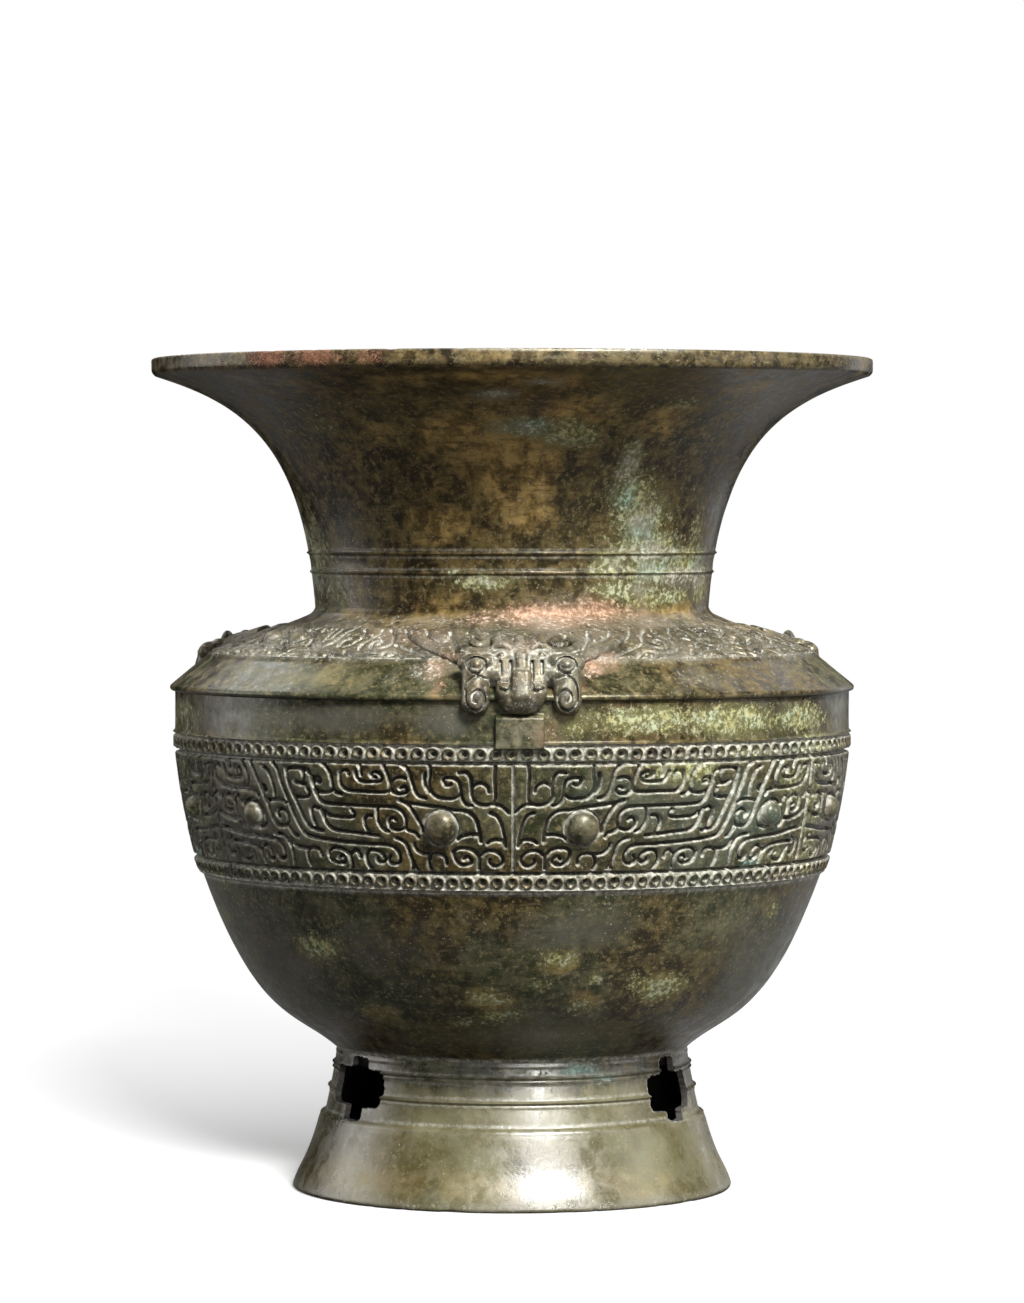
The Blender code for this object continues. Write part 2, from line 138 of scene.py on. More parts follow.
MASK_LINES = [
    # middle strip, brow and the two spirals above it
    [(2.6, 34), (2.75, 45), (2.7, 55), (2.65, 67), (3.0, 71)],
    [(8.6, 41.8), (7.5, 41.4), (6.8, 46), (6.6, 53), (6.55, 60), (6.5, 65), (5.8, 70.6), (4.4, 72.8), (3.25, 72), (1.8, 73.4), (0.95, 77.5), (0.5, 80)],
    [(3.7, 60), (4.0, 55), (5.0, 51.6), (5.9, 53), (6.5, 56.5)],
    [(10.0, 52.5), (10.6, 54), (11.1, 51.2), (11.2, 47.8), (10.6, 46.5), (9.75, 46.7), (8.9, 49), (8.5, 53.8), (8.4, 60), (8.25, 65), (7.9, 69.4), (7.4, 72.2), (6.6, 73.2)],
    [(13.4, 35.5), (13.3, 43.8), (13.5, 50), (13.5, 55), (13.1, 60.6), (12.25, 65), (11, 66.3), (9.75, 66.5), (9, 65), (8.5, 62)],
    [(14.2, 43), (14.35, 48.8), (14.1, 55), (13.6, 60)],
    [(17.9, 35), (17.1, 38.5), (16.65, 43), (16.4, 48.8), (16.1, 55), (15.8, 60.6), (15.2, 64.7), (14.2, 66.2)],
    [(17.4, 47.8), (18.4, 46.6), (19.4, 48.4), (19.9, 53), (19.9, 57.5), (19.4, 61.2), (18.5, 62.8), (17.6, 61.9), (17.2, 58.8), (17.7, 55.6), (18.3, 57)],
    [(21.1, 36), (20.4, 43.8), (20.1, 51.2), (20.05, 56), (20.5, 60.6), (21.2, 61.2)],
    # eye
    [(18.6, 68.8), (17.2, 71), (15.4, 72.5), (13.2, 74), (11.5, 75), (9.7, 77.3), (8, 78), (7, 80), (6.25, 83.8), (5.75, 88.8), (5.5, 95), (5.3, 101.2), (5.2, 108)],
    [(18.5, 69), (17.6, 71.2), (16.9, 75), (16.1, 81.2), (15.5, 88), (15.1, 93), (15.0, 99)],
    [(9.0, 106), (8.6, 104), (7.9, 102.3), (6.75, 101), (5.6, 101.6)],
    # between the eye and the middle
    [(3.5, 80.3), (2.6, 82.5), (2.0, 87.5), (1.6, 93.8), (1.4, 100), (1.2, 106), (1.1, 113)],
    [(4.1, 109.4), (3.5, 106.9), (2.6, 106), (1.75, 107), (1.25, 111)],
    # jaw spirals
    [(5.25, 121.5), (4.5, 117.8), (3.4, 116.7), (2.4, 118.7), (1.7, 123), (1.6, 127.5), (2.1, 131.2), (3, 132), (3.7, 129.4), (3.75, 125.6)],
    [(9.75, 117.8), (9.1, 115), (7.9, 114.2), (6.6, 116), (5.9, 120), (5.55, 123), (5.55, 129), (5.55, 138)],
    [(9.8, 117.5), (9.7, 122.5), (9.3, 127.5), (8.5, 130.6), (7.4, 130.6), (6.8, 128), (7.0, 124.4), (7.6, 122.4), (8.1, 125)],
    [(16.6, 110.6), (16.4, 115), (15.75, 118.7), (14.75, 120.3), (13.6, 120.4), (12.5, 120), (11.5, 121.9), (11.1, 126), (11.1, 130)],
    [(13.8, 121.5), (14.2, 127.5), (14.1, 132.5), (13.6, 138)],
    [(19.75, 105.6), (18.9, 106.9), (18.1, 110.6), (17.7, 115.6), (17.4, 122), (17.1, 128), (17.1, 134), (17.4, 138)],
    [(16.9, 128), (16.7, 133), (16.2, 138)],
    # long lower jaw line ending in a spiral
    [(43.2, 36), (42.1, 40), (41.6, 46), (41.1, 55), (40.3, 67), (39.6, 77.5), (38.9, 86.9), (38, 97), (37.2, 103.4), (36.2, 106.2), (34.5, 108), (32, 109.4), (29.5, 110.6), (27, 111.2), (24.5, 112.1), (22, 112.2), (20.9, 113), (20, 115.3), (19.4, 120.6), (19.25, 125.6), (19.6, 130), (20.4, 131.2), (21.1, 129.6), (21.4, 126), (21, 123)],
    [(39.9, 41), (39.8, 48.8), (39.3, 58.8), (38.5, 68.8), (37.75, 78), (37.1, 86.2), (36.5, 93), (35.75, 97.5), (34.6, 99.7), (33.4, 100.3)],
    # feathered corner
    [(39.85, 41.5), (38.9, 40.2), (37, 40), (35.5, 41.5), (35, 44.8)],
    [(36.6, 41.5), (36.25, 45.6), (36.3, 50), (36.75, 53.4), (37.5, 54.7), (38.25, 52.5)],
    [(37.4, 55), (36.4, 55.6), (35.9, 55.4)],
    [(35.75, 59.4), (35.4, 62.5), (35.5, 66.2), (36.25, 68), (37.1, 68.4), (38.1, 68)],
    [(32.6, 34.5), (31.5, 39), (30.9, 44.4), (30.75, 50), (30.6, 55.6), (30.4, 60), (29.9, 62.8), (29, 64)],
    [(34.5, 50), (34, 48.4), (33.25, 49), (32.9, 51.3), (33.25, 53.2), (33.8, 52.4)],
    [(34.6, 48), (34.6, 52), (34.4, 56.2), (34.1, 61.9), (33.7, 66.9), (33.1, 71.2), (32, 73.4), (30.1, 74), (27.6, 74.4), (25.1, 74.7), (22.75, 75), (21, 75), (19.75, 75.5), (18.6, 78), (17.9, 83), (17.7, 88.8), (17.8, 93.5), (17.6, 97), (16.9, 98.7), (16.1, 100.4), (15.7, 104)],
    [(33.9, 60), (33.4, 61.9), (32.5, 63), (31.4, 62.2), (30.7, 59.5)],
    # big oval scroll
    [(27.4, 44.6), (27.6, 41.6), (28.4, 41), (29, 43), (29.1, 48.8), (28.9, 54.4), (28.25, 58.8), (27.4, 60.5), (25.75, 60.8), (23.9, 61), (22, 61.3), (20.9, 60.5)],
    [(26.2, 42), (25.9, 47.5), (25.1, 51), (23.5, 51.6), (22, 51.2), (21.4, 48), (21.75, 43.8), (22.75, 41.8), (23.4, 43.8), (23, 46.6), (22.4, 47.2)],
    [(25.5, 35), (25.15, 40), (25.1, 45)],
    # horn tongue under it
    [(33.4, 78), (33, 84.4), (32.6, 90.6), (32, 95.6), (31, 99), (29.5, 100.3), (27.6, 101), (25.75, 102.2), (24.2, 103), (22.8, 103.6)],
    [(27.4, 78.7), (26.9, 81.9), (27.1, 85.6), (28.25, 86.7), (30.1, 86.3), (31.75, 85), (32.6, 81.2)],
    [(34, 78.5), (34.6, 77), (35.25, 78.5), (35.25, 83), (35, 89.4), (34.6, 95), (34.4, 98)],
    [(23.75, 84), (24.6, 84.4), (25.1, 87.5), (25.1, 93), (24.7, 98.7), (24.4, 102)],
    [(22.6, 75.6), (22.7, 81.2), (22.7, 87.5), (22.4, 93), (21.75, 97.5), (20.9, 99.5)],
    [(18, 95.6), (19, 97.6), (20.1, 96.9), (20.75, 93), (20.8, 88.7), (20.6, 87), (20, 85.8), (19.5, 87.8)],
    # lower jaw's row of rounds
    [(40.6, 97), (40, 101.9), (39.4, 105.6), (38.9, 106.4)],
    [(40.3, 110.6), (39.9, 114.4), (39.1, 117.5), (38, 118.4), (37, 118.6)],
    [(34.25, 125), (34.4, 120.6), (35, 118), (36, 117.7), (37, 119.4), (37.25, 124.4), (37.2, 129.4), (36.75, 134.4), (36.4, 138)],
    [(28.7, 122.5), (29.5, 118.8), (30.75, 116.9), (32, 117.5), (32.7, 120.6), (32.7, 125.6), (32.25, 129.4), (31.25, 131.6), (30.1, 131.6), (29.7, 128.7), (29.9, 125), (30.6, 124.4), (31, 127)],
    [(28.7, 122.5), (28.5, 128), (28.4, 133), (28.75, 138)],
    [(28.25, 121), (27.6, 118.2), (26.9, 120), (26.6, 124.6)],
    [(24.5, 138), (25.2, 133), (25.5, 127.5), (25.4, 122.5), (24.9, 118.7), (23.9, 117.9), (22.75, 120), (22.2, 123.7), (22.1, 127.5), (22.6, 130), (23.4, 128.7), (23.5, 126)],
]

DRAGON_LINES = [
    # upper scroll
    [(57.2, 42.5), (58.1, 40), (58.9, 41.9), (58.9, 48), (58.5, 53.8), (57.6, 58), (56.4, 60.3), (54.5, 61.6), (52.2, 62.5), (50.4, 62.4), (48.75, 63), (47.6, 64.4), (47, 67.8)],
    [(51, 34.5), (50.1, 39.4), (49.5, 45), (49.2, 51.2), (49.4, 56.9), (50.1, 60.6)],
    [(55.7, 42), (55.5, 48), (54.75, 51.6), (53.25, 52.5), (51.75, 51.9), (51, 48.7), (51.25, 43.8), (52, 41.9), (52.5, 43.8), (52.1, 47)],
    [(55, 34.5), (54.3, 37.5), (54, 42)],
    # crest line running into the round scroll
    [(48.6, 34.5), (47.9, 40), (47.2, 48), (46.5, 55.6), (46, 62.5), (45.6, 69.4), (45, 75), (44.75, 80), (44.5, 85), (44, 91.2), (43.4, 95), (42.5, 97.4), (41.5, 96.9), (40.75, 94.4), (40.4, 89.4), (40.6, 84.4), (41.4, 81.2), (42.5, 81.4), (43, 85), (42.5, 88)],
    [(44.9, 73), (43.9, 72.2), (42.6, 71.7), (41.5, 72), (40.7, 74.2)],
    [(45.4, 40), (44.4, 42.5), (43.6, 48.8), (43.2, 55.6), (42.9, 61.9), (43, 68)],
    [(45.8, 58.8), (45, 60), (45, 62.8), (45.6, 62.6)],
    # eye
    [(51.4, 77.5), (50.75, 74.4), (49.5, 73), (48.25, 74), (47, 77.5), (46.2, 83.8), (45.9, 90.6), (46.1, 96.2), (47, 99), (48, 99.8)],
    [(52, 73.7), (52.6, 69.8), (53.4, 71.2), (53.6, 77.5), (53.6, 84.4), (53.25, 91.2), (52.5, 96.9), (51.8, 99)],
    [(54, 74.4), (54.6, 71.2), (55.75, 69.8), (56.75, 71.2), (57.1, 76.2), (56.9, 81.9), (56.1, 84.7), (55.1, 84.4), (54.75, 80.6), (55.4, 78.7)],
    [(59, 85.6), (58.2, 88.4), (57, 90.6), (55.4, 92.5), (54, 92.8), (53.3, 91.5)],
    [(59.7, 65.6), (59.1, 70), (58.1, 72.2)],
    # lower scroll
    [(59, 102.2), (56.4, 103.7), (53.9, 106), (51.4, 107.8), (48.9, 108.5), (46.4, 109.4), (44.5, 110.6), (43.4, 112.5), (42.6, 117.5), (42.4, 123), (42.6, 128), (43.4, 130.3), (44.1, 128.7), (44.1, 126)],
    [(43.9, 105.4), (42.6, 106), (41.6, 108.7), (40.9, 114.4), (40.5, 120.6), (40.4, 128), (40.5, 134.4), (40.7, 138)],
    [(45.4, 124.4), (45.9, 120), (47, 117.3), (48, 119), (48.3, 124.4), (48, 131.2), (47.6, 138)],
    [(45.4, 125), (45.5, 130), (46.1, 131.2), (46.9, 128.7), (46.7, 126)],
    [(57, 116), (54.5, 116), (52, 116.9), (50.1, 118.7), (48.9, 122.2), (48.3, 125)],
    [(56.7, 111), (57.7, 112.5), (58.4, 117.5), (58.3, 123), (57.8, 127.5), (57, 128.4), (56.4, 126)],
    [(55.6, 121.2), (55, 125.6), (54.6, 131.2), (53.8, 134), (52.4, 133), (51.6, 129), (52.2, 125.8)],
    [(51, 124), (50.4, 128), (50.6, 133), (51, 138)],
]

# Half of one shoulder section: (degrees from the head's middle, 0 at the foot of
# the neck to 1 at the raised line above the chamfer).
SHOULDER_LINES = [
    # beside the horns
    [(11.8, 0.30), (11.2, 0.45), (10.4, 0.60), (9.5, 0.74)],
    [(15.8, 0.28), (14.9, 0.42), (13.4, 0.58), (12.0, 0.74), (11.0, 0.86)],
    [(21.5, 0.27), (19.8, 0.40), (17.8, 0.49), (16.0, 0.52), (15.0, 0.47), (15.7, 0.38)],
    [(27.2, 0.22), (25.2, 0.36), (22.8, 0.50), (20.2, 0.62), (17.0, 0.74), (14.2, 0.86), (12.6, 0.95)],
    [(25.6, 0.62), (23.4, 0.70), (20.6, 0.80), (18.2, 0.90), (17.4, 0.98)],
    [(22.2, 0.98), (22.8, 0.88), (24.6, 0.80), (26.4, 0.82), (26.6, 0.90), (25.2, 0.93), (24.3, 0.89)],
    # the dragon's coiled body
    [(31.2, 0.22), (29.2, 0.32), (27.6, 0.46), (26.9, 0.58), (27.6, 0.68), (29.4, 0.72), (31.2, 0.66), (31.6, 0.56), (30.4, 0.50), (29.3, 0.56), (29.8, 0.62)],
    [(33.8, 0.20), (32.8, 0.32), (33.2, 0.46), (33.8, 0.58), (33.2, 0.70), (31.6, 0.79), (29.2, 0.83), (27.8, 0.84)],
    [(38.8, 0.22), (37.2, 0.30), (36.2, 0.42), (36.0, 0.55), (36.6, 0.66), (38.2, 0.70), (39.4, 0.62), (39.2, 0.52), (38.2, 0.48)],
    [(35.6, 0.78), (34.6, 0.86), (33.0, 0.90), (31.4, 0.97)],
    [(46.8, 0.78), (43.4, 0.77), (40.0, 0.78), (37.6, 0.82), (36.6, 0.90), (37.8, 0.94), (39.0, 0.89)],
    [(43.0, 0.97), (42.6, 0.89), (44.0, 0.85), (46.4, 0.87), (47.6, 0.93)],
    # eye and jaw
    [(60.2, 0.33), (57.4, 0.38), (54.6, 0.36), (51.8, 0.40), (49.8, 0.50), (48.6, 0.62), (46.6, 0.69), (43.2, 0.69), (41.6, 0.60), (42.0, 0.46), (42.6, 0.34), (41.8, 0.22)],
    [(59.6, 0.52), (57.6, 0.60), (54.8, 0.66), (51.8, 0.65), (50.4, 0.60)],
    [(47.8, 0.22), (47.2, 0.34), (46.2, 0.46), (45.0, 0.56), (44.4, 0.48), (45.0, 0.36), (45.6, 0.22)],
    [(52.6, 0.20), (51.8, 0.27), (50.2, 0.31), (49.2, 0.26), (49.8, 0.20)],
    [(57.8, 0.20), (57.2, 0.28), (55.4, 0.30), (54.4, 0.24)],
    [(59.4, 0.76), (56.6, 0.74), (53.6, 0.76), (51.8, 0.82), (52.4, 0.89), (54.4, 0.90), (55.2, 0.85)],
    [(58.8, 0.97), (58.4, 0.88), (57.2, 0.83)],
    [(50.2, 0.97), (49.4, 0.88), (49.8, 0.79), (48.8, 0.73)],
]


def line_distance(lines, x, y, ux, uy):
    """Distance in mm from each (x, y) to the nearest of the lines, whose points are scaled by ux and uy to mm."""
    best = np.full(x.shape, 1e3)
    xm, ym = x * ux, y * uy
    for line in lines:
        p = curved(line) * (ux, uy)
        for a, b in zip(p[:-1], p[1:]):
            lo = np.minimum(a, b) - 4.0
            hi = np.maximum(a, b) + 4.0
            near = (xm > lo[0]) & (xm < hi[0]) & (ym > lo[1]) & (ym < hi[1])
            if not near.any():
                continue
            d = b - a
            t = np.clip(((xm[near] - a[0]) * d[0] + (ym[near] - a[1]) * d[1]) / (d @ d + 1e-12), 0, 1)
            dist = np.hypot(xm[near] - a[0] - t * d[0], ym[near] - a[1] - t * d[1])
            best[near] = np.minimum(best[near], dist)
    return best


# =====================================================================
# The turned shape
# =====================================================================
LIP_R, HEIGHT = 165.4, 380.0


def with_rings(line, rings):
    """Raised rings on a profile: (height, size, half width), added to the radius."""
    out = line.copy()
    for z, size, half in rings:
        out[:, 0] += size * np.exp(-(((line[:, 1] - z) / half) ** 2))
    return out


NECK_OUT = np.vstack([
    [(159.2, 380.0), (161.0, 380.0), (163.2, 380.0), (164.6, 379.9), (165.2, 379.5), (165.4, 378.8)],
    resample([(165.4, 378.2), (165.4, 374.8)], 0.8),
    [(165.2, 373.9), (164.7, 373.0)],
    resample(bez((163.8, 372.1), (128.2, 360.7), (96.0, 345.9), (90.5, 266.5), 400), 0.42),
    [(90.8, 265.5), (91.4, 264.6), (92.3, 263.7), (93.6, 262.9), (95.4, 262.1), (97.2, 261.35), (98.9, 260.6)],
])
NECK_OUT = with_rings(NECK_OUT, [(291.4, 1.0, 0.55), (282.7, 0.9, 0.52), (287.0, -0.2, 2.6)])
NECK_IN = np.vstack([
    [(94.7, 256.8), (91.5, 258.4), (88.7, 261.0), (87.4, 264.5)],
    resample(bez((87.0, 268.0), (92.0, 348.5), (124.5, 364.5), (156.0, 376.4), 200), 2.4),
    [(157.4, 378.6), (158.2, 379.6)],
])

SHOULDER_OUT = np.vstack([
    resample([(98.9, 260.6), (138.4, 245.55)], 0.46),
    [(138.75, 245.8), (139.1, 246.05), (139.55, 245.95), (139.9, 245.5), (140.3, 244.85), (140.8, 244.1)],
    resample([(141.4, 243.5), (156.0, 231.55)], 0.9),
    [(156.6, 231.0), (156.95, 230.4), (157.0, 229.8), (156.85, 229.2), (156.4, 228.75), (155.7, 228.45), (154.9, 228.3)],
])
SHOULDER_IN = np.vstack([
    [(151.2, 227.6), (152.3, 228.4)],
    resample([(152.5, 228.75), (137.3, 241.7), (95.4, 256.5)], 3.0),
    [(94.9, 257.0)],
])

BAND_TOP_Z = 216.7     # where the ornament's own measure starts
BAND_LINE = np.vstack([
    resample([(154.7, 228.2), (154.65, 222.0), (154.7, 213.0), (154.9, 206.0)], 0.42),
    resample(bez((154.9, 205.6), (155.1, 193.9), (148.4, 158.5), (144.2, 148.0), 300), 0.36),
    resample([(144.05, 147.6), (143.4, 146.0)], 0.40),
])
BAND_IN = resample([(138.0, 145.6), (144.4, 166.0), (147.9, 186.0), (150.9, 213.0), (151.0, 227.4)], 4.0)

BELLY_OUT = np.vstack([
    [(143.2, 145.6), (142.8, 145.2), (142.3, 145.05)],
    resample(bez((142.0, 144.9), (117.5, 76.0), (100.0, 81.9), (80.8, 64.5), 300), 1.1),
])
BELLY_UNDER = np.vstack([
    [(79.4, 63.3), (76.6, 61.2)],
    resample(bez((74.5, 58.2), (52.0, 47.5), (30.0, 44.6), (14.0, 44.2), 60), 5.0),
    [(7.0, 44.05), (0.0, 44.0)],
])
BELLY_IN = np.vstack([
    [(0.0, 48.5), (7.0, 48.55), (14.0, 48.7)],
    resample(bez((22.0, 49.2), (50.0, 51.5), (75.0, 59.5), (92.0, 79.4), 60), 4.0),
    resample(bez((92.6, 80.4), (112.0, 90.0), (128.5, 115.0), (137.8, 145.2), 60), 4.0),
    [(138.4, 145.5)],
])

FOOT_OUT = np.vstack([
    resample([(80.75, 64.6), (80.7, 63.2), (81.2, 59.5), (82.3, 52.9), (84.2, 43.0), (85.7, 36.6)], 0.55),
    [(86.0, 36.0), (86.6, 35.2), (87.5, 34.2), (88.3, 33.2), (88.85, 32.3)],
    resample(bez((89.2, 31.5), (94.8, 11.6), (98.1, 10.7), (100.8, 2.0), 120), 0.8),
    [(100.9, 1.5), (100.85, 0.8), (100.5, 0.25), (100.0, 0.0)],
])
FOOT_OUT = with_rings(FOOT_OUT, [(57.6, 1.2, 0.55), (55.4, 0.8, 0.5), (46.8, 1.35, 0.6), (45.0, 0.4, 0.5), (34.0, 0.9, 0.7), (62.8, 0.3, 0.7)])
FOOT_IN = np.vstack([
    [(97.6, 0.0), (95.8, 0.2), (95.3, 1.0)],
    resample([(94.6, 6.0), (90.0, 18.0), (86.2, 29.0), (82.9, 36.0), (80.2, 48.0), (78.4, 58.0), (78.1, 62.0)], 2.0),
    [(78.8, 63.6)],
])


def normals_of(line):
    """Unit normals of a profile that runs down its outer side, pointing out."""
    d = np.gradient(line, axis=0)
    n = np.stack([-d[:, 1], d[:, 0]], 1)
    return n / np.maximum(np.hypot(*n.T), 1e-9)[:, None]


# =====================================================================
# Corrosion: patches in (degrees, height in mm)
# =====================================================================
def blobs(theta, z, r, spots):
    """Sum of soft patches: (degrees, height, half width mm, half height mm, strength)."""
    total = np.zeros_like(theta)
    for a, h, w, v, k in spots:
        d = (theta - a + 180.0) % 360.0 - 180.0
        along = np.radians(d) * np.maximum(r, 30.0)
        total = np.maximum(total, k * np.exp(-((along / w) ** 2) - ((z - h) / v) ** 2))
    return total


def around(spots, turns, fade=0.8):
    """The same patches, weaker, on the sides that face away."""
    found = list(spots)
    for t in turns:
        found += [(a * 0.9 + t, h + 6 * math.sin(t + a), w * 1.1, v, k * fade) for a, h, w, v, k in spots]
    return found


GREEN = around([
    (29, 331, 8, 13, 0.95), (33, 318, 13, 14, 0.95), (37, 306, 19, 12, 1.0), (41, 295, 27, 10, 1.0), (46, 284, 32, 10, 0.95), (40, 272, 34, 8, 0.75), (60, 300, 8, 16, 0.7), (28, 287, 12, 9, 0.95), (60, 287, 18, 12, 1.0), (69, 277, 14, 11, 0.95), (30, 275, 14, 7, 0.9), (52, 272, 22, 6, 0.8),
    (3, 347, 16, 5.5, 0.85), (13, 344, 15, 8, 1.0), (24, 352, 12, 5, 0.4), (-8, 279, 15, 4.5, 0.95), (-16, 283, 10, 3, 0.5), (-46, 350, 14, 10, 0.45), (-34, 358, 22, 5, 0.4), (36, 358, 26, 5, 0.5),
    (22, 220, 34, 7.5, 0.9), (38, 219, 40, 8, 1.0), (56, 219, 30, 8, 0.9), (10, 218, 9, 7, 0.55), (60, 205, 22, 14, 0.75),
    (30, 198, 24, 8, 0.9), (42, 204, 22, 5, 0.7), (14, 204, 14, 4, 0.5), (54, 188, 16, 16, 0.65), (62, 175, 12, 26, 0.7), (52, 156, 20, 7, 0.65), (34, 150, 18, 4, 0.5), (64, 158, 14, 18, 0.7),
    (9, 114.5, 10, 5, 0.85), (32, 100, 19, 8, 0.9), (26, 103, 8, 5, 0.7), (-5, 97, 12, 6, 0.75), (-3, 89, 15, 6, 0.75), (17, 105.5, 5, 4, 0.8), (6, 103, 6, 4, 0.6), (15, 93, 10, 6, 0.65), (-41, 118, 15, 7, 0.9), (58, 132, 10, 6, 0.65), (-32, 88, 14, 6, 0.5), (-10, 86, 12, 5, 0.6), (-20, 142, 26, 5, 0.2),
    (-46, 150, 20, 6, 0.3), (-62, 196, 8, 26, 0.35), (8, 60, 24, 5, 0.5), (-26, 206, 12, 6, 0.25),
], (125, 236), 0.85)
PALE = around([
    (-3, 361, 12, 2.6, 0.95), (5, 366, 11, 2.0, 0.85), (3, 347, 15, 4.5, 0.75), (14, 343, 12, 6, 0.5), (29, 330, 8, 11, 0.9), (36, 306, 15, 12, 0.65), (42, 292, 28, 8, 0.75), (52, 281, 24, 8, 0.85), (66, 280, 15, 10, 0.85), (30, 286, 11, 8, 0.75),
    (40, 276, 32, 5, 0.6), (-8, 279, 13, 3.0, 0.65), (14, 270, 30, 7, 0.5), (-2, 262, 24, 7, 0.55), (30, 262, 36, 7, 0.5),
    (-15, 241, 11, 6, 0.8), (-10, 245, 8, 4, 0.7), (13, 241, 10, 5, 0.6), (0, 254, 26, 7, 0.75), (22, 250, 30, 9, 0.6), (-26, 252, 20, 6, 0.35),
    (32, 237, 20, 6, 0.55), (34, 219, 40, 6, 0.25), (55, 240, 24, 8, 0.3), (-21, 238, 8, 4, 0.6), (12, 205, 20, 5, 0.35),
    # (0, 380) and (18, 380): pale crust on the lip's top edge at the front, which also paints in its highlight; weaker
    # copies go round the lip
    (32, 101, 15, 6, 0.35), (60, 215, 16, 8, 0.4), (0, 380, 40, 2.2, 0.8), (18, 380, 40, 2.2, 0.85), (50, 379, 30, 4, 0.3),
], (118, 242), 0.85)
PINK = around([
    (10, 264, 34, 7, 1.0), (24, 266, 26, 6, 0.8), (-8, 262, 18, 5, 0.7), (2, 252, 18, 7, 0.55), (-14, 242, 8, 6, 0.8), (-11, 247, 10, 4, 0.75), (-12, 235, 4, 6, 0.5), (14, 243, 8, 6, 0.85), (18, 247, 12, 4, 0.7), (11.5, 235, 4, 6, 0.5), (-19, 238, 5, 5, 0.3), (24, 266, 20, 8, 0.9),
    (38, 263, 18, 4, 0.6), (-22, 255, 36, 8, 0.55), (28, 257, 40, 8, 0.5), (6, 212, 8, 8, 0.35), (-32, 268, 20, 5, 0.35), (18, 243, 14, 5, 0.5),
], (122, 238), 0.7)
RED = around([
    (-40, 377, 16, 6, 1.0), (-31, 377, 18, 6, 1.0), (-22, 377, 12, 5, 0.8), (-50, 374, 14, 4, 0.5), (-33, 369, 10, 4, 0.45), (10, 377, 20, 4, 0.35), (35, 377, 26, 4, 0.3),
    (-3, 206, 5, 3, 0.3), (-44, 205, 9, 4, 0.4), (58, 377, 20, 5, 0.35),
], (128, 230), 0.9)
GOLD = around([
    (0, 330, 34, 26, 1.0), (-14, 346, 22, 14, 0.8), (12, 352, 30, 10, 0.8), (-30, 340, 20, 16, 0.55), (-18, 305, 28, 12, 0.7), (4, 308, 26, 10, 0.75),
    (-30, 262, 40, 6, 0.8), (-12, 268, 30, 8, 0.6), (-50, 264, 20, 4, 0.6), (55, 266, 22, 6, 0.8), (34, 350, 26, 12, 0.6),
    (9, 114, 10, 6, 0.8), (-5, 95, 16, 9, 0.85), (32, 100, 18, 9, 0.8), (15, 96, 14, 9, 0.7), (-46, 116, 14, 6, 0.55), (-14, 118, 12, 8, 0.35), (-32, 89, 14, 6, 0.4),
    (-30, 236, 24, 6, 0.5), (-42, 236, 16, 6, 0.2), (-10, 10, 60, 9, 0.9), (20, 12, 40, 9, 0.7), (-45, 12, 40, 9, 0.8), (40, 8, 30, 7, 0.8),
    (0, 50, 70, 4, 0.5), (-6, 377, 60, 4, 0.6), (40, 377, 60, 4, 0.15), (-62, 377, 40, 4, 0.3), (0, 368, 60, 5, 0.7), (-40, 366, 40, 5, 0.6), (40, 366, 40, 5, 0.6), (-10, 230, 14, 4, 0.4),
], (117, 239), 0.9)
TURQ = around([
    (22, 61, 14, 4.0, 1.0), (30, 57, 9, 3.5, 0.8), (14, 52, 8, 3, 0.5), (46, 155, 10, 5, 0.9), (35, 150, 10, 4, 0.6), (10, 150, 16, 3, 0.3),
    (52, 219, 14, 5, 0.5), (42, 176, 60, 34, 0.52), (18, 190, 40, 22, 0.42), (-8, 160, 40, 16, 0.36), (-40, 204, 50, 6, 0.3), (-30, 254, 44, 8, 0.36), (58, 206, 24, 6, 0.6), (40, 148, 40, 5, 0.5), (5, 348, 14, 5, 0.8), (31, 316, 10, 14, 0.7), (36, 302, 14, 10, 0.75), (44, 284, 24, 8, 0.75), (66, 284, 10, 10, 0.6), (2, 205, 8, 3, 0.35), (64, 200, 8, 14, 0.5),
], (116, 243), 0.9)


OLIVE = around([
    (-32, 237, 46, 7, 0.55), (-55, 237, 40, 7, 0.3), (30, 237, 60, 7, 0.3), (58, 237, 40, 7, 0.3), (4, 345, 26, 12, 0.5), (-24, 262, 50, 5, 0.5),
    (16, 126, 26, 12, 0.45), (44, 118, 30, 22, 0.55), (30, 98, 20, 10, 0.45), (-16, 128, 22, 8, 0.25), (0, 172, 14, 30, 0.3),
], (120, 240), 0.95)


SLATE = around([
    (-80, 220, 30, 9, 0.8), (-56, 220, 40, 9, 1.0), (-30, 220, 40, 9, 1.0), (-11, 219, 18, 9, 0.9),
    (-24, 120, 44, 20, 0.65), (12, 128, 34, 12, 0.7), (6, 84, 46, 14, 0.75), (-54, 108, 30, 30, 0.8), (52, 112, 34, 26, 0.6),
    (-52, 305, 26, 26, 0.6), (-45, 178, 60, 34, 0.75), (-14, 178, 40, 30, 0.45), (32, 178, 60, 34, 0.5), (-36, 275, 30, 10, 0.5), (62, 320, 20, 24, 0.4),
], (120, 240), 0.9)


def patina_masks(theta, z, r):
    a = np.stack([blobs(theta, z, r, GREEN), blobs(theta, z, r, PALE), blobs(theta, z, r, PINK)], 1)
    b = np.stack([blobs(theta, z, r, RED), blobs(theta, z, r, GOLD), blobs(theta, z, r, TURQ)], 1)
    return a, b


# =====================================================================
# Meshes
# =====================================================================
pieces = []


